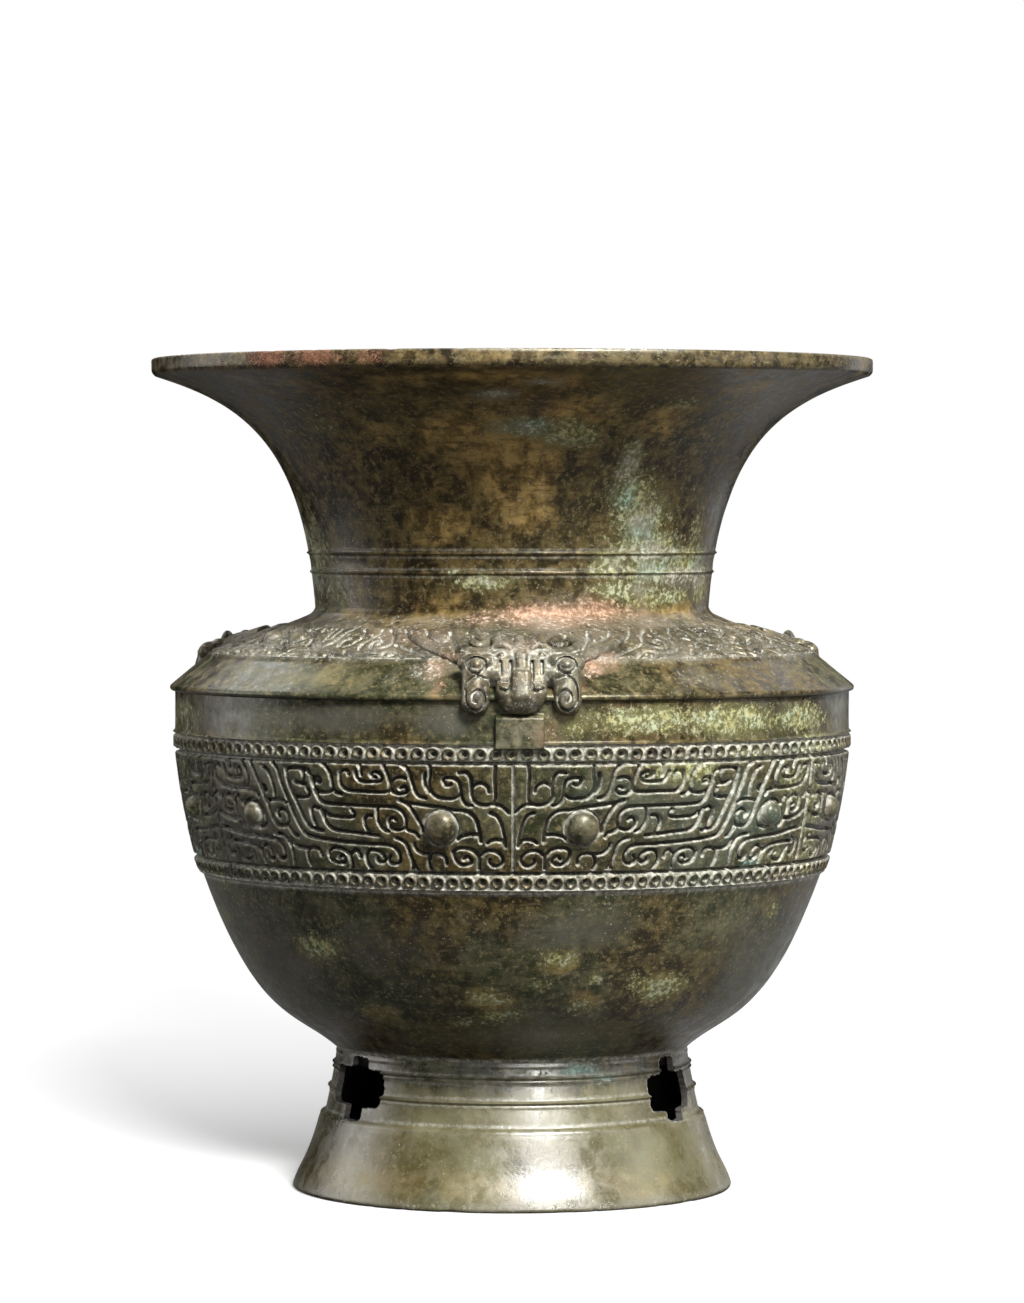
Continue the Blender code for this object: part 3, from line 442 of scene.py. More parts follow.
def mesh_from(name, co, faces, uv=None):
    """A mesh from vertices (n, 3) in metres and quads (m, 4)."""
    mesh = bpy.data.meshes.new(name)
    mesh.vertices.add(len(co))
    mesh.vertices.foreach_set("co", np.ascontiguousarray(co, dtype=np.float32).ravel())
    mesh.loops.add(faces.size)
    mesh.loops.foreach_set("vertex_index", np.ascontiguousarray(faces, dtype=np.int32).ravel())
    mesh.polygons.add(len(faces))
    mesh.polygons.foreach_set("loop_start", np.arange(0, faces.size, faces.shape[1], dtype=np.int32))
    if uv is not None:
        layer = mesh.uv_layers.new(name="OFBake")
        layer.uv.foreach_set("vector", np.ascontiguousarray(uv, dtype=np.float32).ravel())
    mesh.update(calc_edges=True)
    mesh.validate()
    return mesh


def set_colour(mesh, name, rgb):
    layer = mesh.attributes.new(name, "FLOAT_COLOR", "POINT")
    rgba = np.ones((len(rgb), 4), np.float32)
    rgba[:, :3] = rgb
    layer.data.foreach_set("color", rgba.ravel())


def paint(mesh, cavity=None, high=None, dust=0.0, inside_shade=None):
    """Stores where each kind of corrosion lies, and where shade is painted (groove floors, the insides, the top of the
    foot), from the vertices' own places.
    """
    n = len(mesh.vertices)
    co = np.empty(n * 3, np.float32)
    mesh.vertices.foreach_get("co", co)
    co = co.reshape(-1, 3).astype(float)
    theta = np.degrees(np.arctan2(co[:, 0], -co[:, 1]))
    r = np.hypot(co[:, 0], co[:, 1]) * 1000
    a, b = patina_masks(theta, co[:, 2] * 1000, r)
    c = np.zeros((n, 3))
    # olive patina; it fades out over the top of the foot, under the belly: a painted shade there, along with dark
    # patina
    c[:, 2] = np.maximum(blobs(theta, co[:, 2] * 1000, r, OLIVE), np.maximum(0.85 * smooth(61.0, 48.0, co[:, 2] * 1000), 0.10 * smooth(372.5, 374.5, co[:, 2] * 1000) * smooth(158.0, 160.0, r)))
    ledge = smooth(242.0, 246.0, co[:, 2] * 1000) * smooth(268.0, 262.0, co[:, 2] * 1000) * smooth(90.0, 92.0, r)
    a[:, 1] = np.maximum(a[:, 1], np.maximum.reduce([0.62 * ledge, np.full(n, dust), 0.55 * smooth(8.0, 2.0, co[:, 2] * 1000) * smooth(92.0, 94.0, r)]))
    if cavity is not None:
        c[:, 0] = cavity
    if high is not None:
        c[:, 1] = high
    set_colour(mesh, "crust", a)
    set_colour(mesh, "stain", b)
    set_colour(mesh, "relief", c)
    d = np.zeros((n, 3))
    d[:, 0] = blobs(theta, co[:, 2] * 1000, r, SLATE)
    # second channel: the painted shade on the inner sides
    if inside_shade is not None:
        d[:, 1] = inside_shade
    set_colour(mesh, "calm", d)


def shell(name, lines, theta, outer, relief=None, wobble=0.12, shaded_insides=()):
    """A closed band of the vessel: a loop of profile lines, swept through theta in degrees.

    outer is the index of the line that carries the relief, a function of
    (theta, line) that gives (height in mm, cavity, high) for that line's grid."""
    loop = np.vstack(lines)
    start = sum(len(x) for x in lines[:outer])
    rows = np.arange(start, start + len(lines[outer]))
    full = abs(theta[-1] - theta[0] - 360.0) < 1e-6
    th = theta[:-1] if full else theta
    m, n = len(loop), len(th)
    r = np.repeat(loop[:, 0][:, None], n, 1)
    z = np.repeat(loop[:, 1][:, None], n, 1)
    cav = np.zeros((m, n))
    high = np.zeros((m, n))
    inside_shade = np.zeros((m, n))
    for k in shaded_insides:                                  # inner sides: painted shade, darker away from the mouth
        first = sum(len(x) for x in lines[:k])
        inside_shade[first:first + len(lines[k])] = smooth(368.0, 300.0, lines[k][:, 1])[:, None]
    if relief is not None:
        h, c, k = relief(th, lines[outer])
        nrm = normals_of(lines[outer])
        r[rows] += h * nrm[:, 0][:, None]
        z[rows] += h * nrm[:, 1][:, None]
        cav[rows] = c
        high[rows] = k
    a = np.radians(th)[None, :]
    co = np.stack([r * np.sin(a), -r * np.cos(a), z], 2).reshape(-1, 3) * MM
    if wobble:
        # hand-made surface: low swells of a few tenths of a millimetre
        swell = (fractal(co, 22.0, 3, 0.5, 7) - 0.5) * 2 * wobble * MM
        flat = np.hypot(co[:, 0], co[:, 1])
        keep = smooth(0.0, 0.004, co[:, 2]) * smooth(0.0, 0.004, HEIGHT * MM - co[:, 2] - 0.0001 + 0.0005)
        grow = 1 + swell * keep / np.maximum(flat, 0.01)
        co[:, 0] *= grow
        co[:, 1] *= grow
    inside = np.minimum(1.0, 0.1654 / np.maximum(np.hypot(co[:, 0], co[:, 1]), 1e-9))
    co[:, :2] *= inside[:, None]
    co[:, 2] = np.clip(co[:, 2], 0.0, HEIGHT * MM)
    i = np.arange(m)
    j = np.arange(n if full else n - 1)
    I, J = np.meshgrid(i, j, indexing="ij")
    I2, J2 = (I + 1) % m, (J + 1) % n
    faces = np.stack([I * n + J, I2 * n + J, I2 * n + J2, I * n + J2], 2).reshape(-1, 4)
    seg = np.hypot(*np.diff(np.vstack([loop, loop[:1]]), axis=0).T)
    weight = np.full(m, 0.55)
    weight[rows] = 1.0
    v = np.concatenate([[0.0], np.cumsum(seg * weight)])
    v /= v[-1]
    u0 = J / len(j)
    u1 = (J + 1) / len(j)
    v0, v1 = v[I], v[I + 1]
    uv = np.stack([np.stack([u0, v0], 2), np.stack([u0, v1], 2), np.stack([u1, v1], 2), np.stack([u1, v0], 2)], 2).reshape(-1, 2)
    mesh = mesh_from(name, co, faces, uv * 0.998 + 0.001)
    paint(mesh, cav.ravel(), high.ravel(), 0.0, inside_shade.ravel())
    pole = (loop[:, 0] < 1e-6).any()
    if pole or not full:
        bm = bmesh.new()
        bm.from_mesh(mesh)
        if pole:
            bmesh.ops.remove_doubles(bm, verts=[v for v in bm.verts if v.co.xy.length < 1e-6], dist=1e-6)
        if not full:
            bm.verts.ensure_lookup_table()
            layer = bm.loops.layers.uv.active
            for column, flip in ((0, False), (n - 1, True)):
                ring = [bm.verts[k * n + column] for k in range(m)]
                face = bm.faces.new(ring[::-1] if flip else ring)
                for corner in face.loops:
                    corner[layer].uv = (0.0005, 0.0005)
        bmesh.ops.recalc_face_normals(bm, faces=bm.faces)
        bm.to_mesh(mesh)
        bm.free()
    mesh.shade_smooth()
    mesh.set_sharp_from_angle(angle=math.radians(62.0))
    obj = bpy.data.objects.new(name, mesh)
    scene.collection.objects.link(obj)
    pieces.append(obj)
    return obj


# ---- belly band --------------------------------------------------------
RINGS = 47            # ring stamps in each third
EYE = (11.7, 94.5, 7.3, 5.4)        # degrees, distance down, radius, height
SMALL_EYE = (48.9, 87.0, 5.3, 4.0)


def dome(d, radius, height):
    """A round boss: flat foot, full dome."""
    t = np.clip(1.0 - (d / radius) ** 2, 0.0, 1.0)
    return height * t**0.55


def band_relief(th, line):
    seg = np.concatenate([[0.0], np.cumsum(np.hypot(*np.diff(line, axis=0).T))])
    zero = np.interp(-BAND_TOP_Z, -line[:, 1], seg)
    s = (seg - zero) / S_UNIT                       # units down the wall
    T, S = np.meshgrid(th, s)
    local = (T + 60.0) % 120.0 - 60.0               # from the mask's middle
    half = np.abs(local)
    per = math.radians(1.0) * np.interp(s, s, line[:, 0])[:, None] * np.ones_like(T)
    grid = float(np.mean(per))
    # both halves are cut by hand, so the left and right lines don't match exactly
    co = np.stack([np.sin(np.radians(T)).ravel() * 0.15, -np.cos(np.radians(T)).ravel() * 0.15, -S.ravel() * S_UNIT * MM], 1)
    dx = (fractal(co, 38.0, 2, 0.5, 21).reshape(T.shape) - 0.5) * 0.36
    dy = (fractal(co, 38.0, 2, 0.5, 31).reshape(T.shape) - 0.5) * 1.6
    d = line_distance(MASK_LINES + DRAGON_LINES, half + dx, S + dy, grid, S_UNIT)
    width = 0.98 + 0.4 * (fractal(co, 90.0, 2, 0.5, 41).reshape(T.shape) - 0.5)
    cut = 1.0 - smooth(width - 0.30, width + 0.24, d)
    field = smooth(33.2, 35.0, S) * (1 - smooth(137.2, 139.0, S))
    # border channels above and below, the middle line, the seam between sections
    edge = np.minimum(np.abs(S - 33.4), np.abs(S - 139.6)) * S_UNIT
    channel = 1.0 - smooth(0.55, 1.25, edge)
    seam = np.abs(half - 60.0) * grid + 0.5 * (fractal(co, 120.0, 2, 0.5, 51).reshape(T.shape) - 0.5)
    seam_cut = (1.0 - smooth(0.7, 1.5, seam)) * smooth(14.0, 16.0, S) * (1 - smooth(150, 156, S))
    middle = np.abs(local - 0.25) * grid
    mid_cut = (1.0 - smooth(0.45, 0.95, middle)) * field
    depth = np.maximum.reduce([cut * field, channel * 0.9, seam_cut * 0.8, mid_cut * 0.8])
    # bosses
    eyes = np.zeros_like(T)
    ring_groove = np.zeros_like(T)
    for a, at, radius, height in (EYE, SMALL_EYE):
        dist = np.hypot((half - a) * grid, (S - at) * S_UNIT)
        eyes = np.maximum(eyes, np.where(dist < radius, dome(dist, radius, height), 0.0))
        depth = np.where(dist < radius + 0.2, 0.0, depth)
        ring_groove = np.maximum(ring_groove, np.exp(-(((dist - radius - 0.55) / 0.6) ** 2)))
    depth = np.maximum(depth, ring_groove * 0.8 * field)
    # raised faces are a little pillowed away from their lines
    pillow = smooth(0.9, 2.6, d) * 0.10 * field
    h = -2.3 * depth + pillow + eyes
    # ring stamps
    step = 120.0 / RINGS
    for row, radius in ((24.2, 2.2), (148.2, 2.15)):
        k = np.floor(local / step + 0.5)
        jig = hash3(np.floor(T / step + 0.5), row, 0 * T, 3.0) - 0.5
        jag = hash3(np.floor(T / step + 0.5), row, 0 * T, 9.0) - 0.5
        near = np.hypot((local - k * step - jig * 0.12) * grid, (S - row - jag * 0.9) * S_UNIT)
        zone = smooth(row - 8.6, row - 7.6, S) * (1 - smooth(row + 7.6, row + 8.6, S))
        stamp = 0.75 * np.exp(-(((near - radius - 0.12) / 0.5) ** 2)) - 2.3 * (1 - smooth(1.15, 1.9, near))
        h += zone * (stamp - 0.55 * smooth(2.6, 3.2, near))
        depth = np.maximum(depth, zone * np.maximum((1 - smooth(0.9, 1.9, near)), 0.6 * smooth(2.5, 3.2, near)))
    # thin raised lines above the upper row and below the lower one
    for at, size in ((15.0, 1.0), (156.5, 0.5)):
        h += size * np.exp(-(((S - at) * S_UNIT / 0.6) ** 2))
    depth = np.maximum(depth, 0.7 * np.exp(-(((S - 17.6) * S_UNIT / 0.5) ** 2)))
    # pad below the head, left by its own mould
    head_x = (local - 1.5) * grid
    pad = smooth(10.5, 9.9, np.abs(head_x + 0.7)) * smooth(-14.0, -9.0, S) * (1 - smooth(18.6, 19.6, S))
    h = np.where(pad > 0, np.maximum(h, 0) * (1 - pad) + pad * 3.0, h)
    # wear
    h += (fractal(co, 260.0, 2, 0.5, 61).reshape(T.shape) - 0.5) * 0.12
    rim = np.exp(-(((d - width - 0.25) / 0.42) ** 2)) * field
    return h, np.where(pad > 0.5, 0.0, depth), np.clip(0.25 * rim + 0.4 * (eyes > 0.5) + 0.8 * pad, 0, 1)


for turn, name in ((0.0, "front"), (120.0, "right"), (240.0, "left")):
    shell(f"belly_band_{name}", [BAND_LINE, BAND_IN], np.linspace(turn - 60.0, turn + 60.0, 901), 0, band_relief, 0.10, (1,))


# ---- shoulder ------------------------------------------------------------
SHOULDER_EYE = (54.2, 0.50, 4.6, 2.6)


def shoulder_relief(th, line):
    r = line[:, 0]
    v = (r - 98.9) / (139.4 - 98.9)
    T, V = np.meshgrid(th, v)
    local = (T - 1.5 + 60.0) % 120.0 - 60.0
    half = np.abs(local)
    R = np.repeat(r[:, None], len(th), 1)
    co = np.stack([np.sin(np.radians(T)).ravel() * 0.12, -np.cos(np.radians(T)).ravel() * 0.12, -V.ravel() * 0.043], 1)
    dx = (fractal(co, 45.0, 2, 0.5, 23).reshape(T.shape) - 0.5) * 0.7
    dy = (fractal(co, 45.0, 2, 0.5, 33).reshape(T.shape) - 0.5) * 0.03
    d = line_distance(SHOULDER_LINES, half + dx, V + dy, 2.1, 43.3)
    width = 0.95 + 0.35 * (fractal(co, 90.0, 2, 0.5, 43).reshape(T.shape) - 0.5)
    cut = 1.0 - smooth(width - 0.55, width + 0.45, d)
    field = smooth(0.165, 0.20, V) * (1 - smooth(0.955, 0.975, V))
    head = smooth(9.0, 11.0, half)
    edge = np.abs(V - 0.975) * 43.3
    channel = 1 - smooth(0.4, 1.1, edge)
    top = (1 - smooth(0.4, 1.0, np.abs(V - 0.165) * 43.3)) * 0.5
    depth = np.maximum.reduce([cut * field * head, channel * 0.8, top])
    a, at, radius, height = SHOULDER_EYE
    dist = np.hypot((half - a) * math.radians(1) * R, (V - at) * 43.3)
    eyes = np.where(dist < radius, dome(dist, radius, height), 0.0)
    depth = np.where(dist < radius + 0.2, 0.0, np.maximum(depth, 0.8 * np.exp(-(((dist - radius - 0.5) / 0.55) ** 2)) * field))
    raised = field * (0.75 + 0.35 * smooth(0.6, 3.0, d))
    h = raised - 1.9 * depth * field - 0.5 * channel * (1 - field) + eyes
    h += (fractal(co, 230.0, 2, 0.5, 63).reshape(T.shape) - 0.5) * 0.14
    rim = np.exp(-(((d - width - 0.25) / 0.42) ** 2)) * field
    shaded_cuts = np.where(np.abs(T) < 60.0, smooth(8.0, -16.0, T), 0.5)      # painted shade in the cuts to the left, earth-filled to the right
    return h, (1 - shaded_cuts) * 0.24 * depth + shaded_cuts * smooth(0.35, 0.8, depth), np.clip(0.3 * (eyes > 0.4), 0, 1)


for turn, name in ((0.0, "front"), (120.0, "right"), (240.0, "left")):
    shell(f"shoulder_{name}", [SHOULDER_OUT, SHOULDER_IN], np.linspace(turn - 60.0, turn + 60.0, 541), 0, shoulder_relief, 0.12, (1,))


# ---- neck, lower belly, foot -------------------------------------------------
def neck_relief(th, line):
    """Casting marks, and a lip that isn't quite true."""
    T, Z = np.meshgrid(th, line[:, 1])
    co = np.stack([np.sin(np.radians(T)).ravel() * 0.12, -np.cos(np.radians(T)).ravel() * 0.12, Z.ravel() * MM], 1)
    soft = (fractal(co, 60.0, 3, 0.55, 71).reshape(T.shape) - 0.5) * 0.28
    below = np.exp(-(((Z - 293.2) / 0.5) ** 2)) + np.exp(-(((Z - 289.7) / 0.5) ** 2)) + np.exp(-(((Z - 281.1) / 0.5) ** 2)) + np.exp(-(((Z - 284.4) / 0.5) ** 2))
    lip = smooth(372.5, 374.0, Z)
    chips = np.clip(fractal(co, 130.0, 3, 0.6, 73).reshape(T.shape) - 0.62, 0, 1) * 6.0 * lip
    ring = np.exp(-(((Z - 291.4) / 0.8) ** 2)) + np.exp(-(((Z - 282.7) / 0.8) ** 2))
    ring_wear = -0.7 * ring * np.clip(fractal(co, 70.0, 2, 0.5, 75).reshape(T.shape) - 0.6, 0, 1) * 3
    h = soft * (1 - 0.8 * lip) - chips * 0.8 + ring_wear
    return h, np.clip(0.10 * below, 0, 1), np.clip(0.2 * ring + 0.3 * lip, 0, 1)


shell("neck", [NECK_OUT, NECK_IN], np.linspace(-180.0, 180.0, 421), 0, neck_relief, 0.25, (1,))


def belly_relief(th, line):
    T, Z = np.meshgrid(th, line[:, 1])
    co = np.stack([np.sin(np.radians(T)).ravel() * 0.12, -np.cos(np.radians(T)).ravel() * 0.12, Z.ravel() * MM], 1)
    h = (fractal(co, 55.0, 3, 0.55, 81).reshape(T.shape) - 0.5) * 0.26
    return h, 0.8 * np.exp(-(((Z - 144.9) / 0.7) ** 2)) + 0.5 * np.exp(-(((Z - 65.0) / 1.0) ** 2)), 0 * T


shell("lower_belly", [BELLY_OUT, BELLY_UNDER, BELLY_IN], np.linspace(-180.0, 180.0, 361), 0, belly_relief, 0.22, (1, 2))


def foot_relief(th, line):
    T, Z = np.meshgrid(th, line[:, 1])
    co = np.stack([np.sin(np.radians(T)).ravel() * 0.09, -np.cos(np.radians(T)).ravel() * 0.09, Z.ravel() * MM], 1)
    h = (fractal(co, 60.0, 3, 0.55, 91).reshape(T.shape) - 0.5) * 0.26
    rings = [np.exp(-(((Z - z) / 0.75) ** 2)) for z in (56.7, 46.6, 33.6)]
    below = [np.exp(-(((Z - z) / 0.6) ** 2)) for z in (58.5, 54.9, 48.4, 44.8, 36.6)]
    rim = np.clip(fractal(co, 150.0, 3, 0.6, 93).reshape(T.shape) - 0.6, 0, 1) * 5 * np.exp(-((Z / 3.0) ** 2))
    return h - 0.5 * rim, np.clip(0.14 * sum(below) + 0.1 * rim, 0, 1), np.clip(sum(rings) + np.exp(-((Z / 3.0) ** 2)), 0, 1)


foot = shell("ring_foot", [FOOT_OUT, FOOT_IN], np.linspace(-180.0, 180.0, 541), 0, foot_relief, 0.15, (1,))


def cross_outline(seed, left, right, bar, low, high, under, over):
    """The cut cross, a little ragged: points (x, z) in mm from its middle line."""
    corners = [
        (-bar, low + 1.2), (-bar + 1.6, low), (bar - 1.6, low), (bar, low + 1.2), (bar, under - 0.4), (bar + 1.2, under),
        (right - 4.2, under), (right - 1.2, under + 2.6), (right, 0.5 * (under + over)), (right - 1.2, over - 2.8), (right - 4.0, over),
        (bar + 1.0, over), (bar, over + 0.6), (bar - 0.4, high - 1.0), (bar - 1.8, high), (-bar + 1.8, high), (-bar + 0.3, high - 1.2),
        (-bar, over + 0.5), (-bar - 1.0, over), (-left + 2.4, over), (-left, over - 2.4), (-left, under + 2.4), (-left + 2.4, under),
        (-bar - 1.0, under), (-bar, under - 0.6),
    ]
    fine = resample(corners + corners[:1], 0.8)[:-1]
    k = np.arange(len(fine))
    push = np.stack([np.sin(k * 1.7 + seed) + np.sin(k * 0.63 + 2 * seed), np.cos(k * 1.3 + seed) + np.sin(k * 0.47 + seed)], 1)
    return fine + 0.16 * push


# right, back and left cross: turn, then its outline, each cut by hand to its own size
CROSSES = (
    (59.5, (0.4, 17.0, 18.6, 6.6, 34.6, 63.3, 39.4, 56.0)),
    (180.0, (2.5, 17.5, 18.0, 6.6, 34.8, 63.2, 40.6, 57.0)),
    (302.2, (4.6, 23.0, 20.0, 7.2, 35.0, 63.4, 41.4, 58.4)),
)
for n, (turn, sizes) in enumerate(CROSSES):
    bm = bmesh.new()
    outline = cross_outline(*sizes)
    a = math.radians(turn)
    out = Vector((math.sin(a), -math.cos(a), 0))
    side = Vector((math.cos(a), math.sin(a), 0))
    rings = []
    for depth in (72.0, 98.0):
        rings.append([bm.verts.new((out * depth + side * x + Vector((0, 0, z))) * MM) for x, z in outline])
    count = len(outline)
    for i in range(count):
        j = (i + 1) % count
        bm.faces.new((rings[0][i], rings[0][j], rings[1][j], rings[1][i]))
    bm.faces.new(rings[0][::-1])
    bm.faces.new(rings[1])
    bmesh.ops.recalc_face_normals(bm, faces=bm.faces)
    mesh = bpy.data.meshes.new(f"cross_cutter_{n}")
    bm.to_mesh(mesh)
    bm.free()
    cutter = bpy.data.objects.new(mesh.name, mesh)
    scene.collection.objects.link(cutter)
    cut = foot.modifiers.new(f"cross_{n}", "BOOLEAN")
    cut.operation = "DIFFERENCE"
    cut.solver = "EXACT"
    cut.object = cutter

bpy.context.view_layer.update()
carved = bpy.data.meshes.new_from_object(foot.evaluated_get(bpy.context.evaluated_depsgraph_get()))
foot.modifiers.clear()
old = foot.data
foot.data = carved
bpy.data.meshes.remove(old)
carved.name = "ring_foot"
for n in range(3):
    gone = bpy.data.objects[f"cross_cutter_{n}"]
    mesh = gone.data
    bpy.data.objects.remove(gone)
    bpy.data.meshes.remove(mesh)


# ---- beast heads -------------------------------------------------------------
def capsule(p, a, b, ra, rb=None):
    a, b = np.array(a, float), np.array(b, float)
    rb = ra if rb is None else rb
    d = b - a
    t = np.clip(((p - a) @ d) / (d @ d), 0, 1)
    return np.sqrt((((p - a) - t[:, None] * d) ** 2).sum(1)) - (ra + (rb - ra) * t)


def ellipsoid(p, c, rad):
    q = (p - np.array(c, float)) / np.array(rad, float)
    k0 = np.sqrt((q * q).sum(1))
    k1 = np.sqrt(((q / np.array(rad, float)) ** 2).sum(1))
    return k0 * (k0 - 1.0) / np.maximum(k1, 1e-6)


def block(p, c, half, rnd, tilt=0.0):
    """A rounded box, tilted about the side-to-side axis (degrees, top back)."""
    q = p - np.array(c, float)
    a = math.radians(tilt)
    y = q[:, 1] * math.cos(a) + q[:, 2] * math.sin(a)
    z = -q[:, 1] * math.sin(a) + q[:, 2] * math.cos(a)
    e = np.abs(np.stack([q[:, 0], y, z], 1)) - (np.array(half, float) - rnd)
    return np.sqrt((np.maximum(e, 0) ** 2).sum(1)) + np.minimum(e.max(1), 0) - rnd


def blend(a, b, k):
    h = np.clip(0.5 + 0.5 * (b - a) / k, 0, 1)
    return b * (1 - h) + a * h - k * h * (1 - h)


def groove(d, flat, width, depth):
    """Cuts a line of this width and depth, where flat is the distance from it seen from the front."""
    return np.maximum(d, np.minimum(width / 2 - flat, d + depth))


def flat_line(p, points, axes):
    """Distance to a drawn line, in the plane of two axes."""
    q = curved(points)
    best = np.full(len(p), 1e3)
    u, v = p[:, axes[0]], p[:, axes[1]]
    for a, b in zip(q[:-1], q[1:]):
        d = b - a
        t = np.clip(((u - a[0]) * d[0] + (v - a[1]) * d[1]) / (d @ d + 1e-12), 0, 1)
        best = np.minimum(best, np.hypot(u - a[0] - t * d[0], v - a[1] - t * d[1]))
    return best


def tube(p, points, r0, r1):
    q = curved(points, 4)
    best = np.full(len(p), 1e3)
    n = len(q) - 1
    near = np.flatnonzero((p > q.min(0) - 7.0).all(1) & (p < q.max(0) + 7.0).all(1))
    here = p[near]
    close = best[near]
    for i, (a, b) in enumerate(zip(q[:-1], q[1:])):
        ra, rb = r0 + (r1 - r0) * i / n, r0 + (r1 - r0) * (i + 1) / n
        close = np.minimum(close, capsule(here, a, b, ra, rb))
    best[near] = close
    return best


SLOPE = Vector((139.4 - 98.9, 245.2 - 260.6)).normalized()      # down the shoulder


def on_shoulder(x, up, rise):
    """A point x mm to the side, up mm up the shoulder from its lower line, rise mm above it."""
    rho = 139.4 - SLOPE.x * up - SLOPE.y * rise
    return (x, math.sqrt(max(rho * rho - x * x, 1.0)), 245.2 - SLOPE.y * up + SLOPE.x * rise)


def head_field(p):
    m = p.copy()
    m[:, 0] = np.abs(m[:, 0])                   # one half, mirrored
    # skull behind the face
    d = block(m, (0, 147.0, 241.0), (21.5, 8.0, 8.0), 4.0, 38)
    d = blend(d, ellipsoid(m, (0, 142.5, 248.0), (13.0, 8.5, 5.6)), 3.0)
    # ears: hanging lobes, each with a scroll at its foot
    lobe = capsule(m, (19.6, 150.8, 243.2), (19.8, 154.6, 228.6), 6.0, 6.3)
    lobe = np.maximum(lobe, m[:, 1] - 160.3)
    turn_in = flat_line(m, [(15.6, 238.2), (19.0, 239.4), (22.4, 237.6), (23.9, 233.4), (23.9, 228.8), (21.6, 225.2), (18.2, 225.0), (16.0, 227.8), (16.2, 231.4), (18.6, 233.4), (21.0, 232.0), (21.2, 229.4), (19.6, 228.4)], (0, 2))
    lobe = groove(lobe, turn_in, 1.25, 1.5)
    d = blend(d, lobe, 0.8)
    # eyes above the ears
    d = blend(d, capsule(m, (15.0, 152.4, 245.0), (24.0, 150.6, 244.6), 3.6), 1.2)
    rim = np.sqrt(((m[:, 0] - 19.4) / 4.1) ** 2 + ((m[:, 2] - 244.0) / 3.4) ** 2)
    d = groove(d, np.abs(rim - 1.0) * 3.7, 1.1, 1.3)
    d = np.minimum(d, ellipsoid(m, (19.4, 153.8, 244.0), (3.3, 3.9, 2.8)))
    # cheeks: flat bars between the nose and the ears
    cheek = block(m, (0.0, 151.2, 239.4), (10.8, 5.2, 7.6), 2.4, 30)
    d = blend(d, cheek, 1.2)
    # brow scrolls at the top of the bars
    brow = tube(m, [(4.8, 149.0, 250.6), (7.6, 148.6, 252.4), (11.0, 147.8, 251.6), (12.4, 148.4, 249.0), (10.6, 150.6, 247.0), (8.6, 151.2, 248.0)], 1.8, 1.4)
    d = blend(d, brow, 0.6)
    slit = np.where((m[:, 2] > 236.2) & (m[:, 2] < 246.2), np.abs(m[:, 0] - 4.7), 9.0)
    slit = np.minimum(slit, np.where((m[:, 2] > 240.0) & (m[:, 2] < 246.0), np.abs(m[:, 0] - 9.0), 9.0))
    slit = np.minimum(slit, np.where((m[:, 0] > 4.6) & (m[:, 0] < 8.4), np.abs(m[:, 2] - 236.6), 9.0))
    d = groove(d, slit, 1.3, 2.0)
    # nose, widening into the muzzle
    nose = block(m, (0, 152.9, 240.8), (3.7, 4.4, 9.4), 2.8, 32)
    d = blend(d, nose, 0.5)
    muzzle = ellipsoid(m, (0, 155.0, 229.8), (10.4, 7.6, 7.4))
    muzzle = blend(muzzle, ellipsoid(m, (7.4, 156.2, 232.4), (3.8, 6.0, 4.4)), 2.0)
    muzzle = blend(muzzle, block(m, (0, 158.2, 235.0), (4.2, 4.4, 7.0), 2.4, 18), 2.2)
    muzzle = groove(muzzle, flat_line(m, [(4.6, 238.0), (4.8, 234.6), (5.8, 233.2), (7.6, 233.4), (9.4, 234.2)], (0, 2)), 1.3, 2.4)
    muzzle = np.maximum(muzzle, -ellipsoid(m, (6.4, 160.0, 225.0), (1.9, 3.4, 1.6)))
    d = blend(d, muzzle, 1.5)
    # crest and forehead ridges running up the shoulder
    d = blend(d, capsule(m, on_shoulder(0.0, 24.0, 0.2), on_shoulder(0.0, 2.0, 4.2), 2.3, 3.0), 1.2)
    d = blend(d, capsule(m, on_shoulder(6.0, 22.0, -0.2), on_shoulder(5.6, 6.0, 2.6), 1.8, 2.0), 1.0)
    # horns: scrolls that lie back on the shoulder
    horn = tube(m, [on_shoulder(*q) for q in (
        (10.2, 20.0, 1.6), (9.6, 13.0, 2.6), (10.0, 6.0, 3.6), (12.6, 0.6, 4.4), (16.8, -1.8, 4.6), (21.4, 0.4, 4.2), (24.2, 6.0, 3.6), (24.4, 13.0, 3.0),
        (21.8, 18.6, 2.8), (18.0, 19.4, 3.0), (15.2, 15.6, 3.4), (15.2, 10.4, 3.8), (17.6, 7.2, 4.2), (19.8, 9.6, 4.2))], 2.5, 2.1)
    d = blend(d, horn, 0.5)
    # a second, plain horn that sweeps outwards
    sweep = tube(m, [on_shoulder(*q) for q in ((20.0, -2.5, 2.0), (27.0, 0.5, 1.7), (33.5, 5.5, 1.5), (39.0, 11.5, 1.3), (43.0, 19.0, 0.9), (45.0, 27.0, 0.0))], 3.0, 2.4)
    d = blend(d, sweep, 0.8)
    # nothing below the vessel's own surface
    rho = np.hypot(p[:, 0], p[:, 1])
    n1 = np.array((-SLOPE.y, SLOPE.x))
    slope2 = Vector((156.5 - 140.6, 230.6 - 244.2)).normalized()
    n2 = np.array((-slope2.y, slope2.x))
    body = np.maximum.reduce([
        (rho - 139.4) * n1[0] + (p[:, 2] - 245.2) * n1[1],
        (rho - 140.6) * n2[0] + (p[:, 2] - 244.2) * n2[1],
        rho - 155.2])
    d = np.maximum(d, -(body + 1.3))
    return d


